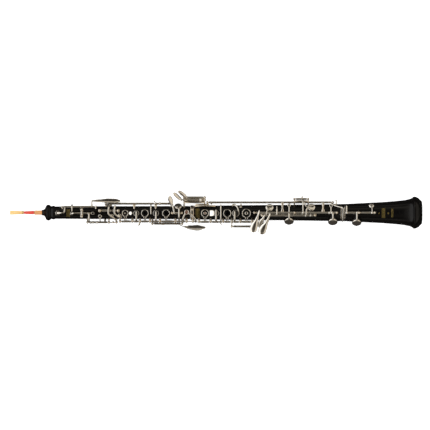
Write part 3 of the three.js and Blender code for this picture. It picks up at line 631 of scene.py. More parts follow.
seats = Shape()
for x, degrees, radius in CUP_HOLES:
    seat(seats, x, degrees, radius, SEAT_RISE.get(x, 0.0), SEAT_FLAT.get(x, radius + 0.9))
for x, degrees, radius in RING_HOLES:
    seat(seats, x, degrees, radius, 0.1, radius + 1.0)
build("tone_hole_seats", seats, "blackwood")


# ---- Rings, corks and reed ----
def rounded(x0, x1, inner, outer, r=0.3):
    """The closed profile of a ring with eased outer edges."""
    return [(x0, inner), (x0, outer - r), (x0 + 0.3 * r, outer - 0.3 * r), (x0 + r, outer), (x1 - r, outer),
            (x1 - 0.3 * r, outer - 0.3 * r), (x1, outer - r), (x1, inner)]


middle = Shape()
middle.turned(rounded(-39.55, -34.55, 8.65, 11.15, 0.5), sides=96, closed=True)
build("middle_ring_turned", middle, "rings", "root", ["middle_ring"])

foot = Shape()
for x0, x1 in ((193.8, 194.9), (199.4, 200.5)):
    foot.turned(rounded(x0, x1, 11.3, 13.75, 0.3), sides=96, closed=True)
build("bell_ring_turned", foot, "rings", "root", ["bell_ring"])
collar = Shape().turned(rounded(194.9, 199.4, 11.3, 13.4, 0.3), sides=96, closed=True)
build("bell_ring_collar", collar, "blackwood")

for node in ("upper_tenon_cork", "bell_tenon_cork"):
    frame["nodes"][node].data.materials.clear()
    frame["nodes"][node].data.materials.append(FINISH["cork"])


def blade(sign):
    """One reed blade: half a tube at the throat, wide and thin at the tip."""
    shape = Shape()
    rings = []
    lengths = 14
    for i in range(lengths + 1):
        t = i / lengths
        x = -298.7 - 21.5 * t
        wide = 2.35 + 0.95 * t ** 0.8
        deep = 2.35 - 1.75 * t ** 1.1
        thick = 0.55 - 0.42 * t
        lift = 0.16 + 0.10 * (1 - t)
        arcs = 10
        outer = []
        inner = []
        for k in range(arcs + 1):
            a = math.pi * k / arcs
            outer.append(V(x, wide * math.cos(a), sign * (lift + deep * math.sin(a))))
            inner.append(V(x, (wide - 0.35 * thick) * math.cos(a),
                           sign * (lift + max(deep - thick, 0.02) * math.sin(a))))
        rings.append(outer + inner[::-1])
    shape.shell(rings)
    return shape


build("reed_blade_front_cane", blade(1), "cane", "reed", ["reed_blade_front"], 50)
build("reed_blade_back_cane", blade(-1), "cane", "reed", ["reed_blade_back"], 50)

WIRE = 0.22
WIRE_SECTION = [(WIRE * math.cos(a),
                 2.62 + WIRE * math.sin(a)) for a in (math.pi * i / 4 for i in range(8))]
wire = Shape()
for k in range(3):
    wire.turned(WIRE_SECTION, V(-300.4 + 0.45 * k, 0, 0), BORE, 28, closed=True)
wire.ball(V(-299.9, 1.6, 2.4), 0.42)
build("reed_wire", wire, "staple", "reed")

winding = Shape()
turns = 30
winding_length = 15.6
pitch = winding_length / turns
route = []
for i in range(turns * 12 + 1):
    t = i / (turns * 12)
    a = 2 * math.pi * turns * t
    radius = 1.85 + 0.85 * t ** 0.8
    route.append(V(-298.3 + winding_length * t, radius * math.cos(a), radius * math.sin(a)))
rings = []
for p in route:
    out = V(0, p.y, p.z).normalized()
    strand = []
    for k in range(6):
        b = 2 * math.pi * k / 6
        swell = 0.56 * pitch * (1.15 if k % 2 else 1.0)
        strand.append(p + (out * math.sin(b) + BORE * math.cos(b)) * swell)
    rings.append(strand)
winding.shell(rings)
winding.turned([(-298.4, 1.46), (-298.4, 1.9), (-282.5, 2.68), (-282.5, 2.26)], sides=24, closed=True)
build("reed_thread_winding", winding, "thread", "reed", ["reed_thread"], 60)

staple = Shape()
staple.turned([(-298.0, 0.8), (-298.0, 1.1), (-282.4, 1.9), (-253.0, 2.1), (-252.9, 2.2), (-252.6, 2.2),
               (-252.6, 1.6), (-282.4, 1.4)], sides=32, closed=True)
build("reed_staple_tube", staple, "staple", "reed", ["reed_staple"])
plug = Shape()
plug.turned([(-282.0, 2.45), (-282.0, 2.9), (-281.4, 3.3), (-280.4, 3.4), (-254.6, 3.35), (-253.5, 3.0),
             (-253.5, 2.45)], sides=48, closed=True)
build("reed_cork_sleeve", plug, "cork", "reed", ["reed_cork"])

# ---- Keywork vocabulary ----
TUBE = 1.65              # outside radius of a hinge tube
ROD = 0.75               # radius of the steel rod inside it
OPEN = 1.9               # height over the wood of a ring, or of a cup that stands open
CUP_CLEAR = 0.25         # what the finger cups stand higher than the rings
SHUT = 0.6               # height of a cup that rests on its seat
PAD = 0.32               # thickness of a pad


def tube(shape, key, x0, x1, radius=TUBE):
    """A hinge tube with eased ends and a turned line near each end."""
    y, z = LINE[key]
    shape.turned([(x0, 1.02), (x0, radius - 0.2), (x0 + 0.2, radius), (x0 + 0.9, radius),
                  (x0 + 1.0, radius - 0.12), (x0 + 1.15, radius), (x1 - 1.15, radius),
                  (x1 - 1.0, radius - 0.12), (x1 - 0.9, radius), (x1 - 0.2, radius), (x1, radius - 0.2),
                  (x1, 1.02)], V(0, y, z), BORE, 20, closed=True)


def arm(shape, route, widths=2.0, heights=1.3, power=2.0, **rest):
    shape.bar(route, widths, heights, power=power, **rest)


def post(shape, key, x, ball=2.1, foot_angle=None):
    """A turned post: flared foot, slim stem with a collar and a ball head."""
    head = on(key, x) if isinstance(key, str) else V(x, *key)
    if foot_angle is None:
        foot = V(0, head.y, head.z).normalized() * (wood_radius(x) - 0.15) + V(x, 0, 0)
    else:
        foot = around(x, wood_radius(x) - 0.15, foot_angle)
    height = (head - foot).length
    profile = [(0, 0), (0, 2.1), (0.35, 2.15), (0.6, 1.9), (0.9, 1.25), (0.55 * height, 0.95),
               (height - ball - 0.3, 1.0), (height - ball - 0.1, 1.3), (height - ball + 0.15, 1.3)]
    for k in range(2, 9):
        a = math.pi * k / 8
        profile.append((height - ball * math.cos(a), ball * math.sin(a)))
    profile = [p for i, p in enumerate(profile) if i == 0 or p[0] >= profile[i - 1][0] - 0.01]
    shape.turned(profile, foot, head - foot, 20)


def rod(shape, key, x0, x1, radius=ROD):
    """A rod on a hinge line, or on any (y, z) line."""
    y, z = LINE[key] if isinstance(key, str) else key
    shape.turned([(x0 - 0.35, 0), (x0 - 0.35, 0.8 * radius), (x0, radius), (x1, radius),
                  (x1 + 0.35, 0.8 * radius), (x1 + 0.35, 0)], V(0, y, z), BORE, 14)


def cup(shape, base, normal, radius, height=2.6):
    """A key cup with a rolled rim and a domed top."""
    shape.turned([(0, 0), (0, radius - 0.25), (0.25, radius), (0.56 * height, radius),
                  (0.66 * height, radius - 0.12), (0.74 * height, radius - 0.4),
                  (0.80 * height, 0.86 * radius), (0.92 * height, 0.62 * radius),
                  (0.98 * height, 0.34 * radius), (height, 0)], base, normal, 48)


def flat_cup(shape, base, normal, radius, height=2.2):
    """A finger cup: a rolled rim and a nearly flat top."""
    shape.turned([(0, 0), (0, radius - 0.25), (0.25, radius), (height - 0.5, radius),
                  (height - 0.28, radius - 0.08), (height - 0.15, radius - 0.24),
                  (height - 0.11, radius - 0.45), (height - 0.08, 0.8 * radius),
                  (height - 0.04, 0.5 * radius), (height - 0.01, 0.25 * radius), (height, 0)], base,
                 normal, 48)


def plate(shape, base, normal, radius, height=1.6):
    """A flat-topped cover."""
    shape.turned([(0, 0), (0, radius - 0.2), (0.2, radius), (height - 0.35, radius),
                  (height - 0.1, radius - 0.2), (height, radius - 0.5), (height, 0)], base, normal, 36)


def ring(shape, base, normal, outer, inner, height=1.4):
    """A finger ring with a rounded top."""
    r = 0.8
    middle = (outer + inner) / 2
    half = (outer - inner) / 2
    dome = [(height - r * (1 - math.cos(a)), middle + half * math.sin(a))
            for a in (math.radians(d) for d in (78, 55, 36, 18, 0, -18, -36, -55, -78))]
    shape.turned([(0, inner + 0.1), (0, outer - r), (r, outer)] + dome + [(0.1, inner)], base, normal, 56,
                 closed=True)


def touch(shape, route, widths, thickness, crown, up=None, power=3.2):
    """A thumb or finger plate: a thin, softly crowned bar that widens to a round end."""
    shape.bar(route, widths, thickness, up=up, power=power, sides=20, steps=7, crown=crown)


PADS = {}


def pad(body, base, normal, radius):
    """A pad glued in the cup's open side, above its tone hole."""
    shape = PADS.setdefault(body, Shape())
    shape.turned([(0, 0), (0, radius - 0.75), (0.12, radius - 0.5), (PAD, radius - 0.45), (PAD, 0)],
                 base - normal * PAD, normal, 32)


SPRINGS = Shape()


def spring(key, x0, x1):
    """A needle spring from a post to a catch under the hinge tube, close to the wood."""
    y, z = LINE[key]
    inward = V(0, y, z).normalized()
    start = on(key, x0) - inward * 1.2
    end = on(key, x1) - inward * 2.2
    SPRINGS.bar([start, start.lerp(end, 0.5) - inward * 0.1, end], [0.5, 0.4, 0.25], [0.5, 0.4, 0.25],
                power=2, sides=8)


def front(x, y, lift):
    """A place over the front of the wood."""
    return V(x, y, wood_radius(x) + lift)


class Key(Shape):
    """One key's plated metal, which starts from its hinge tube."""

    def __init__(self, name, x0=None, x1=None, radius=TUBE):
        super().__init__()
        self.name = name
        if x0 is not None:
            tube(self, name, x0, x1, radius)

    def at(self, x):
        return on(self.name, x)

    def reach(self, x, *places):
        """A route that leaves the hinge line at x and goes through (y, z) places across the bore."""
        return [self.at(x)] + [V(x, y, z) for y, z in places]

    def finish(self):
        build(self.name + "_plated", self, "keys", self.name, [self.name])


def rod_on_posts(key, posts, end=None):
    shape = Shape()
    rod(shape, key, posts[0], posts[-1] if end is None else end)
    for x in posts:
        post(shape, key, x)
    return shape


def fixed(node, shape):
    """Rods and posts that stay with the wood."""
    build(node + "_turned", shape, "posts", "root", [node])


def over(top):
    """The end of an arm that runs over a large cup and down its far side."""
    return [top + V(0, -1.6, -1.6), top + V(0, -3.6, -4.2)]


def cup_round(shape, x, degrees, radius, lift=SHUT, form=cup):
    """A cup over a hole on the side; lift counts from the top of the hole's seat."""
    direction = around(0, 1, degrees)
    base = around(x, wood_radius(x) + SEAT_RISE.get(x, 0.0) + lift, degrees)
    form(shape, base, direction, radius, 2.6)
    pad(shape.name, base, direction, radius)
    return base + direction * 2.45


# ---- Upper joint: octave keys ----
s = Key("side_octave_key", -236.3, -189)
top = cup_round(s, -245.8, -3, 3.4, form=flat_cup)
arm(s, s.reach(-234.7, (4.6, 13.6)) + [V(-235.6, 0.6, 14.3), V(-240, -0.4, 14.2), top],
    [2.6, 2.2, 2, 2, 2.6], 1.2, up=UP)
arm(s, s.reach(-192.5, (13.4, 12.4)) + [V(-192.4, 17.8, 12.6), V(-190, 18.6, 12.5)], [2.6, 2.2, 2.2, 2.8],
    1.4, up=UP)
touch(s, [V(-191.6, 18.4, 12.5), V(-181, 18.5, 12.4), V(-168, 18.7, 12.3), V(-157, 18.4, 12.2),
          V(-149.8, 18.1, 12.1)], [2.4, 4.8, 7.4, 7.4, 4], 1.1, 0.1, V(0, 0.53, 0.85), 8)
arm(s, [V(-223.3, 12.2, 9.4), V(-223.3, 9.6, 12), V(-223.3, 5.6, 13.6), V(-223.3, 2.6, 14)],
    [2.2, 2.2, 1.9, 1.7], 1.2, up=UP)
s.finish()

s = Shape()
PIVOT_Y = (4.5, -6.1)
pivot_x, pivot_z = -208.2, LINE["first_octave_lever"][1]
for y in PIVOT_Y:
    post(s, (y, pivot_z), pivot_x, 2.5)
s.bar([V(pivot_x, PIVOT_Y[0], pivot_z), V(pivot_x, PIVOT_Y[1], pivot_z)], 1.5, 1.5, power=2)
fixed("octave_pivot_posts", s)

s = Key("first_octave_lever")
s.turned([(0, 1), (0, 1.5), (0.2, TUBE), (4.8, TUBE), (5, 1.5), (5, 1)], V(pivot_x, 1.7, pivot_z),
         V(0, -1, 0), 20, closed=True)
top = cup_round(s, -224.2, -7, 2.3, form=flat_cup)
arm(s, [top, V(-220.6, -0.9, 14.5), V(pivot_x, -0.9, 14.4), V(-198, -0.9, 14.4)], [2.4, 1.9, 2.6, 2], 1.4,
    up=UP)
arm(s, [V(-198.4, -0.9, 14.4), V(-196.9, -3.4, 14), V(-197.2, -9, 12.2), V(-197.4, -12.8, 9.2)],
    [2, 2.4, 3, 3.8], 1.6)
arm(s, [V(-198.6, -0.9, 14.3), V(-194, -0.9, 13.6), V(-191, -1, 13)], [2, 1.9, 1.8], 1.2, up=UP)
flat_cup(s, V(-190.8, -1.1, 12.7), UP, 2.3, 1.3)
s.finish()

s = rod_on_posts("thumb_octave_key", (-199.6, -166.2, -154.5))
s.ball(on("thumb_octave_key", -159.6), 1.8, BORE)
fixed("thumb_octave_rod", s)
s = Key("thumb_octave_key", -197, -168.8)
for x in (-191.2, -184.8):
    s.ball(s.at(x), 2.1)
arm(s, s.reach(-194.6, (-16.2, 4.4)) + [V(-194.8, -15.6, 6.6)], [3.4, 3.2, 2.6], 2.2)
arm(s, s.reach(-179.8, (-13.4, 7), (-10.2, 10.4), (-8, 11.8)), 1.7, 1.2)
ring(s, around(-179.8, 12.1, -26), around(0, 1, -26), 2.9, 1.6, 1.3)
arm(s, s.reach(-173, (-16, -4.4)) + [V(-172.8, -13.2, -11.4), V(-172.4, -7.6, -15.4)], [2.4, 2.4, 2.8, 4],
    1.5)
touch(s, [V(-172.4, -8.6, -15.3), V(-172.4, -2, -16.2), V(-172.4, 3, -16.1)], [4.6, 9.6, 9], 1.4, 0.5)
s.finish()

# ---- Upper joint: trill keys ----
s = Shape()
rod(s, "trill_lever_left", -180.2, -151.5)
for x, size in ((-180.2, 2.9), (-151.5, 2.6)):
    post(s, "trill_lever_left", x, size)
fixed("trill_pivot_rod", s)

s = Key("trill_lever_left", -177, -163, 1.9)
top = cup_round(s, -161.5, -24, 3.2, form=flat_cup)
arm(s, [V(-166.1, 8.6, 13), V(-166.8, 3.8, 15.3), V(-166.4, -2, 15.2), V(-163.4, -5.6, 13),
        V(-160.3, -7.6, 12), V(-156.8, -10, 10.2), V(-155.4, -12, 8.4)],
    [2.6, 2.4, 2.4, 2.4, 2.4, 2.2, 1.8], 1.3)
arm(s, [V(-163.8, -5.2, 13.2), top], 1.8, 1.2)
s.finish()
s = Key("trill_lever_right", -161.6, -154.1)
top = cup_round(s, -149.6, -23, 3.2, form=flat_cup)
arm(s, [V(-156.5, 10.2, 12.4), V(-157.4, 4.8, 15), V(-157, -0.8, 15.5), V(-154.2, -4.6, 13.6),
        V(-149.8, -7.2, 11.6), V(-147, -7.4, 11.2)], [2.8, 2.4, 2.5, 2.5, 2.6, 2.6], 1.3)
arm(s, [V(-153.2, -5, 13.2), top], 2, 1.2)
s.finish()

s = Shape()
rod(s, "trill_touch_key", -170.9, -69.6)
y, z = LINE["trill_touch_key"]
s.turned([(-93.8, 1.5), (-93.8, 1.6), (-69.6, 1.6), (-69.6, 0.7), (-93.8, 0.7)], V(0, y, z), BORE,
         16, closed=True)
for x in (-170.9, -93.8, -69.6):
    post(s, "trill_touch_key", x)
s.ball(V(-95.6, 17.4, 6.2), 1.2)
for x in (-126.9, -93.6):
    s.bar([V(x, 12, 7.8), V(x, 9.4, 9.2), V(x, 6.2, 9.5)], [5, 3, 1.8], [1.5, 1.5, 1.3], up=V(0, 0.6, 1),
          power=3)
s.ball(V(-86.9, y, z), 2.2)
fixed("upper_top_rod", s)
s = Key("trill_touch_key", -168.2, -96.5)
s.bar([V(-169, 11.4, 8.8), V(-163, 11.4, 8.8)], 3.4, 2.2, power=4)
arm(s, s.reach(-164.6, (12.4, 8.6)), 3, 2)
arm(s, s.reach(-100.9, (11.6, 10.4), (6.6, 13.6), (1, 14.4), (-1.6, 14.2)), [2.6, 2.2, 2, 1.8, 1.8], 1.3)
s.finish()

# ---- Left hand stack ----
LEFT_POSTS = (-148.9, -129.6, -118, -102.5, -86.9, -62.8, -45.7, -35.8)
RIGHT_POSTS = (-26.4, -8.3, 11.3, 24.6, 38, 56.4)
END = 2.5


def between(posts, x):
    return max(p for p in posts if p < x) + END, min(p for p in posts if p > x) - END


def half_plate(shape, base, radius, height):
    """A D-shaped touch: straight towards the reed, round towards the bell, leaning a little to the reed."""
    normal = V(-0.31, 0, 0.95).normalized()
    run = V(0, 1, 0).cross(normal)
    outline = [(-0.88, -0.96), (-0.76, -1.04), (-0.3, -1.06)]
    outline += [(0.05 + math.cos(a), 1.06 * math.sin(a)) for a in (math.radians(d) for d in range(-75, 76,
                                                                                                  15))]
    outline += [(-0.3, 1.06), (-0.76, 1.04), (-0.88, 0.96)]
    shape.shell([[base + (run * u + V(0, 1, 0) * v) * radius * size + normal * rise for u,
                  v in outline] for rise, size in ((0, 0.94), (0.15, 1), (height - 0.25, 1),
                                                   (height - 0.06, 0.97), (height, 0.92))])


def shoulders(shape, key, posts):
    """The second ball, nearer the wood, of the stacks' posts."""
    for x in posts:
        shape.ball(on(key, x) + V(0, 1.9, 1.3), 2.1)


def pearl_in(body, base, normal, radius):
    """A small domed inlay in a key's ring."""
    inlay = Shape().turned([(0, 0), (0, radius), (0.7, radius), (1, 0.7 * radius), (1.15, 0)], base,
                           normal, 28)
    build(body + "_pearl", inlay, "pearl", body)


def ring_key(name, posts, x, radius, insert=0, more=None, pearl=False):
    x0, x1 = between(posts, x)
    s = Key(name, x0, x1)
    base = front(x, -1, OPEN)
    ring(s, base, UP, radius, radius - 1.25)
    edge = base.y - radius
    for lean in (-1, 1):
        arm(s, [s.at(x + 1.0 * lean), V(x + 1.2 * lean, edge - 2.6, base.z - 1.4),
                V(x + 2.0 * lean, edge + 0.7, base.z + 0.6)], 1.3, 1.2)
    if insert:
        ring(s, base + V(0, 0, -0.1), UP, insert, 0.55 * insert, 1.1)
        arm(s, [base + V(-radius + 0.8, 0, 0.1), base + V(-insert + 0.2, 0, 0)], 0.7, 0.6)
    if pearl:
        pearl_in(name, base + V(0, 0, -0.05), UP, insert * 0.9)
    if more:
        more(s)
    spring(name, x0 - END + 0.5, x1 - 2)
    s.finish()


def cup_key(name, posts, x, radius, arm_x=None, more=None):
    arm_x = x if arm_x is None else arm_x
    s = Key(name, *between(posts, arm_x))
    base = front(x, -1, OPEN + CUP_CLEAR)
    flat_cup(s, base, UP, radius, 2.2)
    pad(name, base, UP, radius)
    arm(s, [s.at(arm_x), V(arm_x, -11.4, base.z - 1), V(arm_x, -6.6, base.z + 1.6),
            V(arm_x, 0.8, base.z + 2.1)], [3.4, 3, 2.6, 2.2], 1.6)
    if more:
        more(s)
    s.finish()


s = rod_on_posts("left_ring_a", LEFT_POSTS, -29.4)
shoulders(s, "left_ring_a", LEFT_POSTS[1:])
arm(s, [on("left_ring_a", -118), V(-118.6, -17, 3.6), V(-119.6, -19, 2)], [2.6, 2.8, 3.2], 2)
fixed("left_stack_rod", s)


def half_hole(s):
    """The leaning plate beside the half-hole ring, and the bar that joins them."""
    plate(s, front(-132, -1, OPEN + 0.4), V(-0.31, 0, 0.95), 2.8, 1.6)
    arm(s, [front(HALF_HOLE, -1, OPEN) + V(4.6, 0, 0.7), front(-133, -1, OPEN + 0.8)], 1.6, 1.2)


def thin_lever(s):
    """The lever from the F cup towards the side of the left little finger."""
    arm(s, [V(35.4, 0.6, 15), V(34.6, 4.6, 14.4), V(32.8, 9, 13.4), V(28.6, 12.6, 12.2),
            V(25.6, 11.2, 12.6)], [1.6, 2, 2.2, 2.4, 2.8], 1.3, up=UP)


ring_key("half_hole_plate", LEFT_POSTS, HALF_HOLE, 5.2, 1.2, half_hole)
cup_key("left_cup_b", LEFT_POSTS, -123.5, 4.3)
ring_key("left_ring_a", LEFT_POSTS, -110.2, 6)
cup_key("left_cup_c", LEFT_POSTS, -93.1, 4.6)
ring_key("left_ring_g", LEFT_POSTS, -77.4, 6)

# ---- G sharp ----
fixed("g_sharp_rod", rod_on_posts("g_sharp_touch", (-67.8, -53.2)))
s = Key("g_sharp_touch", -65.2, -55.8)
arm(s, [V(-64.6, -0.6, 15.6), V(-65.4, 4, 15.8), V(-66.8, 9.6, 14.8), V(-68.2, 13.4, 13.8)],
    [2.4, 2.4, 2.6, 3.4], 1.3, up=UP)
touch(s, [V(-68, 12.6, 14), V(-69.6, 17, 13.6), V(-70.7, 20.8, 13.2), V(-71.2, 23, 12.8)],
      [3, 6.8, 7.9, 6], 1.4, 0.25, V(0.36, 0.1, 0.93))
s.finish()
s = Key("g_sharp_cup", LEFT_POSTS[5] + END, -54.7)
top = cup_round(s, G_SHARP_HOLE, 47, 5.8)
arm(s, s.reach(-57.2, (-10.6, 11), (-6.4, 15.6), (-1, 17.8)) + [V(-57.3, 5.4, 16.6), top],
    [3, 2.8, 2.8, 2.6, 2.4, 2.2], 1.6)
s.finish()

# ---- Bridge and side trill paddle ----
s = Key("bridge_wishbone", -54, -48.4)
tube(s, "bridge_wishbone", -33.2, -29.8)
pearl = V(-45.4, 0.6, 12.8)
ring(s, pearl, UP, 4, 2.6, 1.7)
s.turned([(0, 0), (0, 3), (0.5, 3), (0.5, 0)], pearl, UP, 32)
pearl_in("bridge_wishbone", pearl + V(0, 0, 0.5), UP, 2.5)
arm(s, s.reach(-50.9, (-11, 10.2)) + [V(-50.4, -7, 12.6), V(-48, -2, 14)], [3, 2.8, 2.6, 2.2], 1.5)
arm(s, [s.at(-31), V(-31.4, -11.4, 9.8), V(-35, -7, 12.4), V(-38.8, -3, 13.8), V(-42.6, -0.8, 14)],
    [3, 2.8, 2.8, 2.6, 2.2], 1.5)
s.finish()

fixed("side_trill_rod", rod_on_posts("side_trill_paddle", (-98.8, -52.6)))
s = Key("side_trill_paddle", -96.2, -55.2)
arm(s, [s.at(-84), V(-83, -18.6, 0.8), V(-82.3, -18.6, 2.8)], [3.2, 3.4, 4.2], 2)
arm(s, [s.at(-57.8), V(-55, -19.6, -1), V(-50, -21.6, -0.4), V(-46, -22.2, 0)], [2.4, 2.6, 2.8, 3.2], 1.5)
touch(s, [V(-48, -22.2, 0), V(-40, -23.2, 0.2), V(-29, -23.8, 0.3), V(-17.6, -23.4, 0.4)],
      [2.8, 7.4, 10, 3.6], 1.4, 0.2, V(0, -0.54, 0.84), 6)
s.finish()

# ---- Left little finger ----
PINKY_POSTS = (-49.5, -17.5)
s = Shape()
for x in PINKY_POSTS:
    post(s, "left_pinky_high", x, 2.1, 64)
    s.ball(on("left_pinky_low", x), 2.1)
for key in ("left_pinky_high", "left_pinky_low"):
    rod(s, key, *PINKY_POSTS)
for place, radius in (((15.7, 7.6), 1.1), ((21.7, 7.2), 1.2), ((17.6, 5), 1.5)):
    rod(s, place, PINKY_POSTS[0], PINKY_POSTS[1], radius)
for x in PINKY_POSTS:
    arm(s, [V(x, 15.7, 7.6), V(x, 17.6, 5), V(x, 21.7, 7.2), on("left_pinky_high", x)], 2.4, 1.6,
        up=BORE)
rod(s, (12.7, 8.4), -31.4, -10.8, 1.1)
rod(s, (10.2, 10.4), -32.8, -1, 1.2)
for x, y, z in ((-30.6, 12.7, 8.4), (-12.6, 12.7, 8.4), (-32.4, 10.2, 10.4), (-1.8, 10.2, 10.4)):
    arm(s, [V(x, 0, 0) + V(0, y, z).normalized() * (wood_radius(x) - 0.1), V(x, y, z)], 1.6, 1.6,
        up=BORE)
fixed("left_pinky_rods", s)
PINKY_TUBE = (PINKY_POSTS[0] + 2.4, PINKY_POSTS[1] - 2.4)
s = Key("left_pinky_low", *PINKY_TUBE, 1.9)
s.ball(s.at(-23.4), 2.9)
arm(s, [s.at(-45.6), V(-46, 19.2, 12.6), V(-49.5, 19.4, 13.8), V(-54, 20.4, 13.8)], [2.6, 2.6, 2.4, 3.4],
    1.4)
touch(s, [V(-53.4, 19.8, 13.9), V(-57.4, 23.2, 13.9), V(-61.6, 27, 13.7), V(-64, 29.2, 13.5)],
      [3.2, 6.2, 6.6, 5.2], 1.4, 0.2, V(0.44, 0.34, 0.83))
s.finish()
s = Key("left_pinky_high", *PINKY_TUBE)
arm(s, [s.at(-45.6), V(-45.8, 23.8, 13.8), V(-47, 25, 14.8)], [2.8, 2.8, 3.4], 1.4)
touch(s, [V(-45.6, 23.8, 14.8), V(-49.4, 27, 14.9), V(-53.6, 30.2, 14.7), V(-56.6, 32.2, 14.4)],
      [3.2, 6.2, 6.6, 5], 1.4, 0.5, V(0.3, 0.28, 0.9))
s.finish()

# ---- Lower joint: long link ----
fixed("lower_top_rod", rod_on_posts("long_link_key", (-13.2, 181.3)))
s = Key("long_link_key", -10.6, 178.7)
arm(s, [V(182.8, 12.6, 12.8), V(186.2, 13.2, 12.4), V(187.4, 16.4, 11), V(186, 19.4, 9.2)],
    [1.8, 2, 2, 2.2], 1.3, up=UP)
arm(s, s.reach(-7, (14.6, 10), (13.2, 11.8)), 2.4, 1.5)
arm(s, [s.at(175), V(177.6, 14.8, 10.8), V(183.6, 11.4, 14.2), V(190, 9.4, 16.2), V(195.6, 8, 17.6),
        V(197.2, 5, 19), V(196.9, -1, 19.2), V(196.7, -8, 17.2), V(196.6, -13.6, 13)],
    [2.4, 2.2, 2, 1.9, 1.9, 1.8, 1.6, 1.5, 1.5], 1.3)
s.finish()

# ---- Right hand stack ----
OUTER_PIVOTS = (24.6, 56.4)
s = rod_on_posts("right_ring_e", RIGHT_POSTS)
shoulders(s, "right_ring_e", RIGHT_POSTS)
for x in OUTER_PIVOTS:
    arm(s, [on("right_ring_e", x), V(x, -18.6, 5.2), on("f_link_key", x)], 2, 1.6)
    s.ball(on("f_link_key", x), 2)
fixed("right_stack_rod", s)

ring_key("right_ring_f_sharp", RIGHT_POSTS, -16.9, 6.2, 2.3, pearl=True)
s = Key("right_plate", -5.8, 4.4)
half_plate(s, front(-5.6, -0.9, OPEN + 0.6), 4.2, 1.5)
flat_cup(s, front(0.2, -1, OPEN + CUP_CLEAR), UP, 4.5, 2.2)
pad("right_plate", front(0.2, -1, OPEN + CUP_CLEAR), UP, 4.5)
arm(s, s.reach(0.2, (-12, 11.2), (-7, 14.4), (3.4, 15)), [3.2, 3, 2.8, 2.4], 1.6)
arm(s, [V(-3.4, -0.9, 14.2), V(-0.8, -0.9, 14.6)], 2.4, 1.2, up=UP)
s.finish()
s = Key("bridge_strip", 5.2, 8.8)
arm(s, [V(8.4, -18.6, 7.2), V(7.4, -16.8, 6.6), V(7.5, -14.4, 8.2), V(7.6, -10.4, 12.2), V(7.6, -3, 15.4),
        V(7.6, 5, 15.2), V(7.6, 11.8, 11.6)], [2.6, 2.2, 2.2, 2.1, 2, 2, 2.4], 1.2)
s.finish()
ring_key("right_ring_e", RIGHT_POSTS, 17.6, 6.4)
cup_key("right_cup_f", RIGHT_POSTS, 30.9, 5.4, 29, thin_lever)
ring_key("right_ring_d", RIGHT_POSTS, 47.3, 7, 2.4)
s = Key("f_link_key")
rod(s, "f_link_key", OUTER_PIVOTS[0] + 2.5, OUTER_PIVOTS[1] - 2.5, 1.65)
arm(s, s.reach(30, (-21.6, 4.8), (-20.2, 6.8)), 2, 1.6)
arm(s, s.reach(50, (-21.8, 5), (-20.4, 7.4)), 2, 1.6)
s.finish()

# ---- Foot keys ----
CENTRE_POSTS = (59.7, 121.9, 187.5)
SIDE_POSTS = (71.2, 153.9)
fixed("foot_centre_rod", rod_on_posts("low_c_key", CENTRE_POSTS))
fixed("foot_side_rod", rod_on_posts("e_flat_key", SIDE_POSTS))

s = Key("low_c_key", *between(CENTRE_POSTS, 90))
touch(s, [V(67, 2.4, 19.3), V(65.6, -3, 19.4), V(63, -11, 19), V(59.6, -20, 17.8), V(58, -25.4, 16.8)],
      [2.8, 3, 5.2, 10.6, 11.6], 1.5, 1, V(0, -0.1, 1))
top = cup_round(s, LOW_C_HOLE, FOOT_ANGLE, 7.4, OPEN)
arm(s, s.reach(LOW_C_HOLE, (-2.6, 20.6), (-8, 20), (-12, 15.8)) + over(top), [2.8, 2.6, 2.4, 2.2, 1.9, 1.6],
    1.5)
arm(s, s.reach(LOW_C_HOLE, (4, 17.6), (9, 15.4)), [2.4, 2, 1.8], 1.3)
ring(s, V(LOW_C_HOLE, 11.2, 14.2), V(0, 0.5, 1), 2.8, 1.5, 1.3)
s.finish()

s = Key("e_flat_key", SIDE_POSTS[0] + END, 79.6)
touch(s, [V(75.4, -4.4, 17.4), V(73.2, -8.6, 16.4), V(70, -14.6, 14.4), V(68.8, -19.4, 13)],
      [2.8, 3.6, 8.2, 9.4], 1.4, 0.8, V(0, -0.2, 1))
top = cup_round(s, E_FLAT_HOLE, SIDE_ANGLE, 6.2)
arm(s, s.reach(78.2, (-3.6, 19.4)) + [V(78.4, -0.6, 21.3), V(79.2, 3, 20.8), V(81.6, 6.6, 17.6), top], 2,
    1.2)
s.finish()

s = Key("low_c_sharp_key", 81, SIDE_POSTS[1] - END)
touch(s, [V(83.6, -2.6, 18.2), V(82, -7, 18.6), V(78.6, -15, 18.4), V(73.8, -23.8, 17.4),
          V(71.6, -28.2, 16.6)], [3, 3.4, 5.2, 11, 12.4], 1.5, 1.1, V(0, -0.1, 1))
top = cup_round(s, C_SHARP_HOLE, SIDE_ANGLE, 6.1)
arm(s, s.reach(94.5, (-3.6, 19.4), (-0.4, 21.3), (3.6, 20.8), (9.4, 17)), 2.2, 1.3)
arm(s, s.reach(140.1, (-3.6, 19.4), (-0.4, 21.3)) + [V(140.2, 3.6, 20.8), V(142, 7.8, 18.2), top], 2.2,
    1.3)
for x in (139.2, 146.6):
    s.turned([(-1, 1.5), (-1, 2), (-0.6, 2.3), (0.6, 2.3), (1, 2), (1, 1.5)], s.at(x), BORE, 20,
             closed=True)
s.finish()

s = Key("low_b_key", *between(CENTRE_POSTS, 150))
top = cup_round(s, LOW_B_HOLE, FOOT_ANGLE, 7.4, OPEN)
arm(s, s.reach(LOW_B_HOLE, (-4.6, 19.2), (-9.4, 18)) + over(top), [2.8, 2.5, 2.3, 1.9, 1.6], 1.5)
arm(s, s.reach(178.4, (4.4, 18), (8.8, 16.4)), 1.9, 1.3)
ring(s, V(178.4, 10.6, 15.4), V(0, 0.4, 1), 2.6, 1.4, 1.3)
for x in (134.8, 176, 180):
    s.ball(s.at(x), 2.3, BORE)
s.finish()

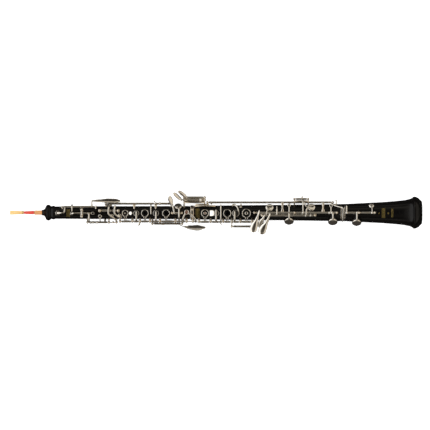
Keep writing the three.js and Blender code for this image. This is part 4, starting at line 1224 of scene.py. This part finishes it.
s = Shape()
rod(s, "upper_side_lever", 121.9, 143.2)
for x in (121.9, 143.2):
    s.ball(on("upper_side_lever", x), 2)
    arm(s, [around(x, wood_radius(x) - 0.1, 58), V(x, 14.4, 9.6), V(x, 17.6, 12.4),
            on("upper_side_lever", x)], [3, 2, 2, 2.2], 2, up=BORE)
s.ball(V(133.9, 24.2, 9.4), 1.4)
rod(s, (18, 11), 121.9, 143.2, 1.1)
fixed("upper_side_rod", s)
s = Key("upper_side_lever", 124.3, 140.8)
arm(s, s.reach(134.8, (20.4, 12.6), (16, 17.6), (9, 20.8), (0, 21.8)), [3, 2.4, 2.2, 2, 1.9], 1.4)
s.ball(V(134.8, -0.2, 21.5), 1.9)
arm(s, [V(134.8, 18, 16), V(137.6, 14, 17), V(140, 9.6, 17.6)], [2.2, 1.9, 1.8], 1.2)
s.finish()

# ---- Bell keys ----
BELL_POSTS = (222.3, 246.2)
s = Shape()
rod(s, "low_b_flat_key", 200.6, BELL_POSTS[1])
for x in BELL_POSTS:
    post(s, "low_b_flat_key", x)
fixed("bell_rod", s)
s = Key("low_b_flat_key", 201.2, BELL_POSTS[0] - END)
for x in (202.6, 219):
    s.ball(s.at(x), 2.3, BORE)
arm(s, s.reach(202.6, (4, 20.2), (10, 17.4)), [2.6, 2.3, 2.3], 1.4)
top = cup_round(s, B_FLAT_HOLE, BELL_ANGLE, 7.4, OPEN)
arm(s, s.reach(B_FLAT_HOLE, (-5.6, 20), (-11, 18.4)) + over(top), [2.8, 2.5, 2.3, 1.9, 1.6], 1.5)
s.finish()
s = Key("bell_vent_key", BELL_POSTS[0] + END, BELL_POSTS[1] - END)
top = cup_round(s, 241.2, 40, 4.3)
arm(s, s.reach(242, (4, 20.2)) + [V(241.6, 8.4, 18.2), top], [2, 1.5, 1.4, 1.4], 1.2)
s.ball(s.at(242), 2.3, BORE)
s.finish()

# ---- Thumb rest ----
s = Shape()
s.bar([V(-14, 0, -11.9), V(-3, 0, -11.9), V(8, 0, -11.9)], [9, 10, 9], 1.5, up=V(0, 0, -1), power=5,
      sides=24)
s.bar([V(-6.4, 0, -12.2), V(-6.8, 0, -17), V(-6, 0, -21.6), V(-3.6, 0, -23.9), V(3.4, 0, -24.2)],
      [8, 9.6, 12.4, 13.6, 12], [2.4, 2, 1.8, 1.5, 1.5], up=V(-1, 0, 0), power=5, sides=24)
for x in (-11.4, 5.2):
    s.turned([(0, 0), (0, 1.9), (0.5, 1.7), (0.8, 1), (0.85, 0)], V(x, 0, -12.5), V(0, 0, -1), 20)
build("thumb_rest_hook", s, "posts", "root", ["thumb_rest"])

# ---- Pads, springs, guides and marks ----
for body, shape in PADS.items():
    build(body + "_pad", shape, "pad", body)
build("needle_springs", SPRINGS, "steel")

s = Shape()
for x, angle in ((103.1, 36), (166.2, 36)):
    foot = around(x, wood_radius(x) - 0.2, 10)
    top = V(x, 13.8, 11.4)
    s.bar([foot, foot.lerp(top, 0.5), top], [2.4, 1.5, 2.2], [5, 2.2, 4.2], up=BORE, power=2.6)
post(s, (12, 9.4), 38.7, 1.6)
build("guide_posts", s, "rings")


def mark(shape, x0, x1, degrees0, degrees1):
    """A thin strip of leaf that follows the wood's surface."""
    steps = max(2, int(abs(degrees1 - degrees0) / 4))
    rings = []
    for k in range(steps + 1):
        a = degrees0 + (degrees1 - degrees0) * k / steps
        rings.append([around(x, wood_radius(x) + lift, a) for x,
                      lift in ((x0, -0.05), (x0, 0.04), (x1, 0.04), (x1, -0.05))])
    shape.shell(rings)


s = Shape()
for x in (-231.6, -229.6, -227.6):
    mark(s, x, x + 1.1, -42, 36)
for x in (-31.4, -29.2, -27):
    mark(s, x, x + 1.2, -48, 38)
for x in (251.9, 266.1):
    mark(s, x, x + 2, -8, 1)
for x in (257.2, 259.1, 261):
    mark(s, x, x + 1.2, -30, 24)
for x in (271.8, 273.7):
    mark(s, x, x + 1, -25, 20)
build("plain_marks", s, "gilt")
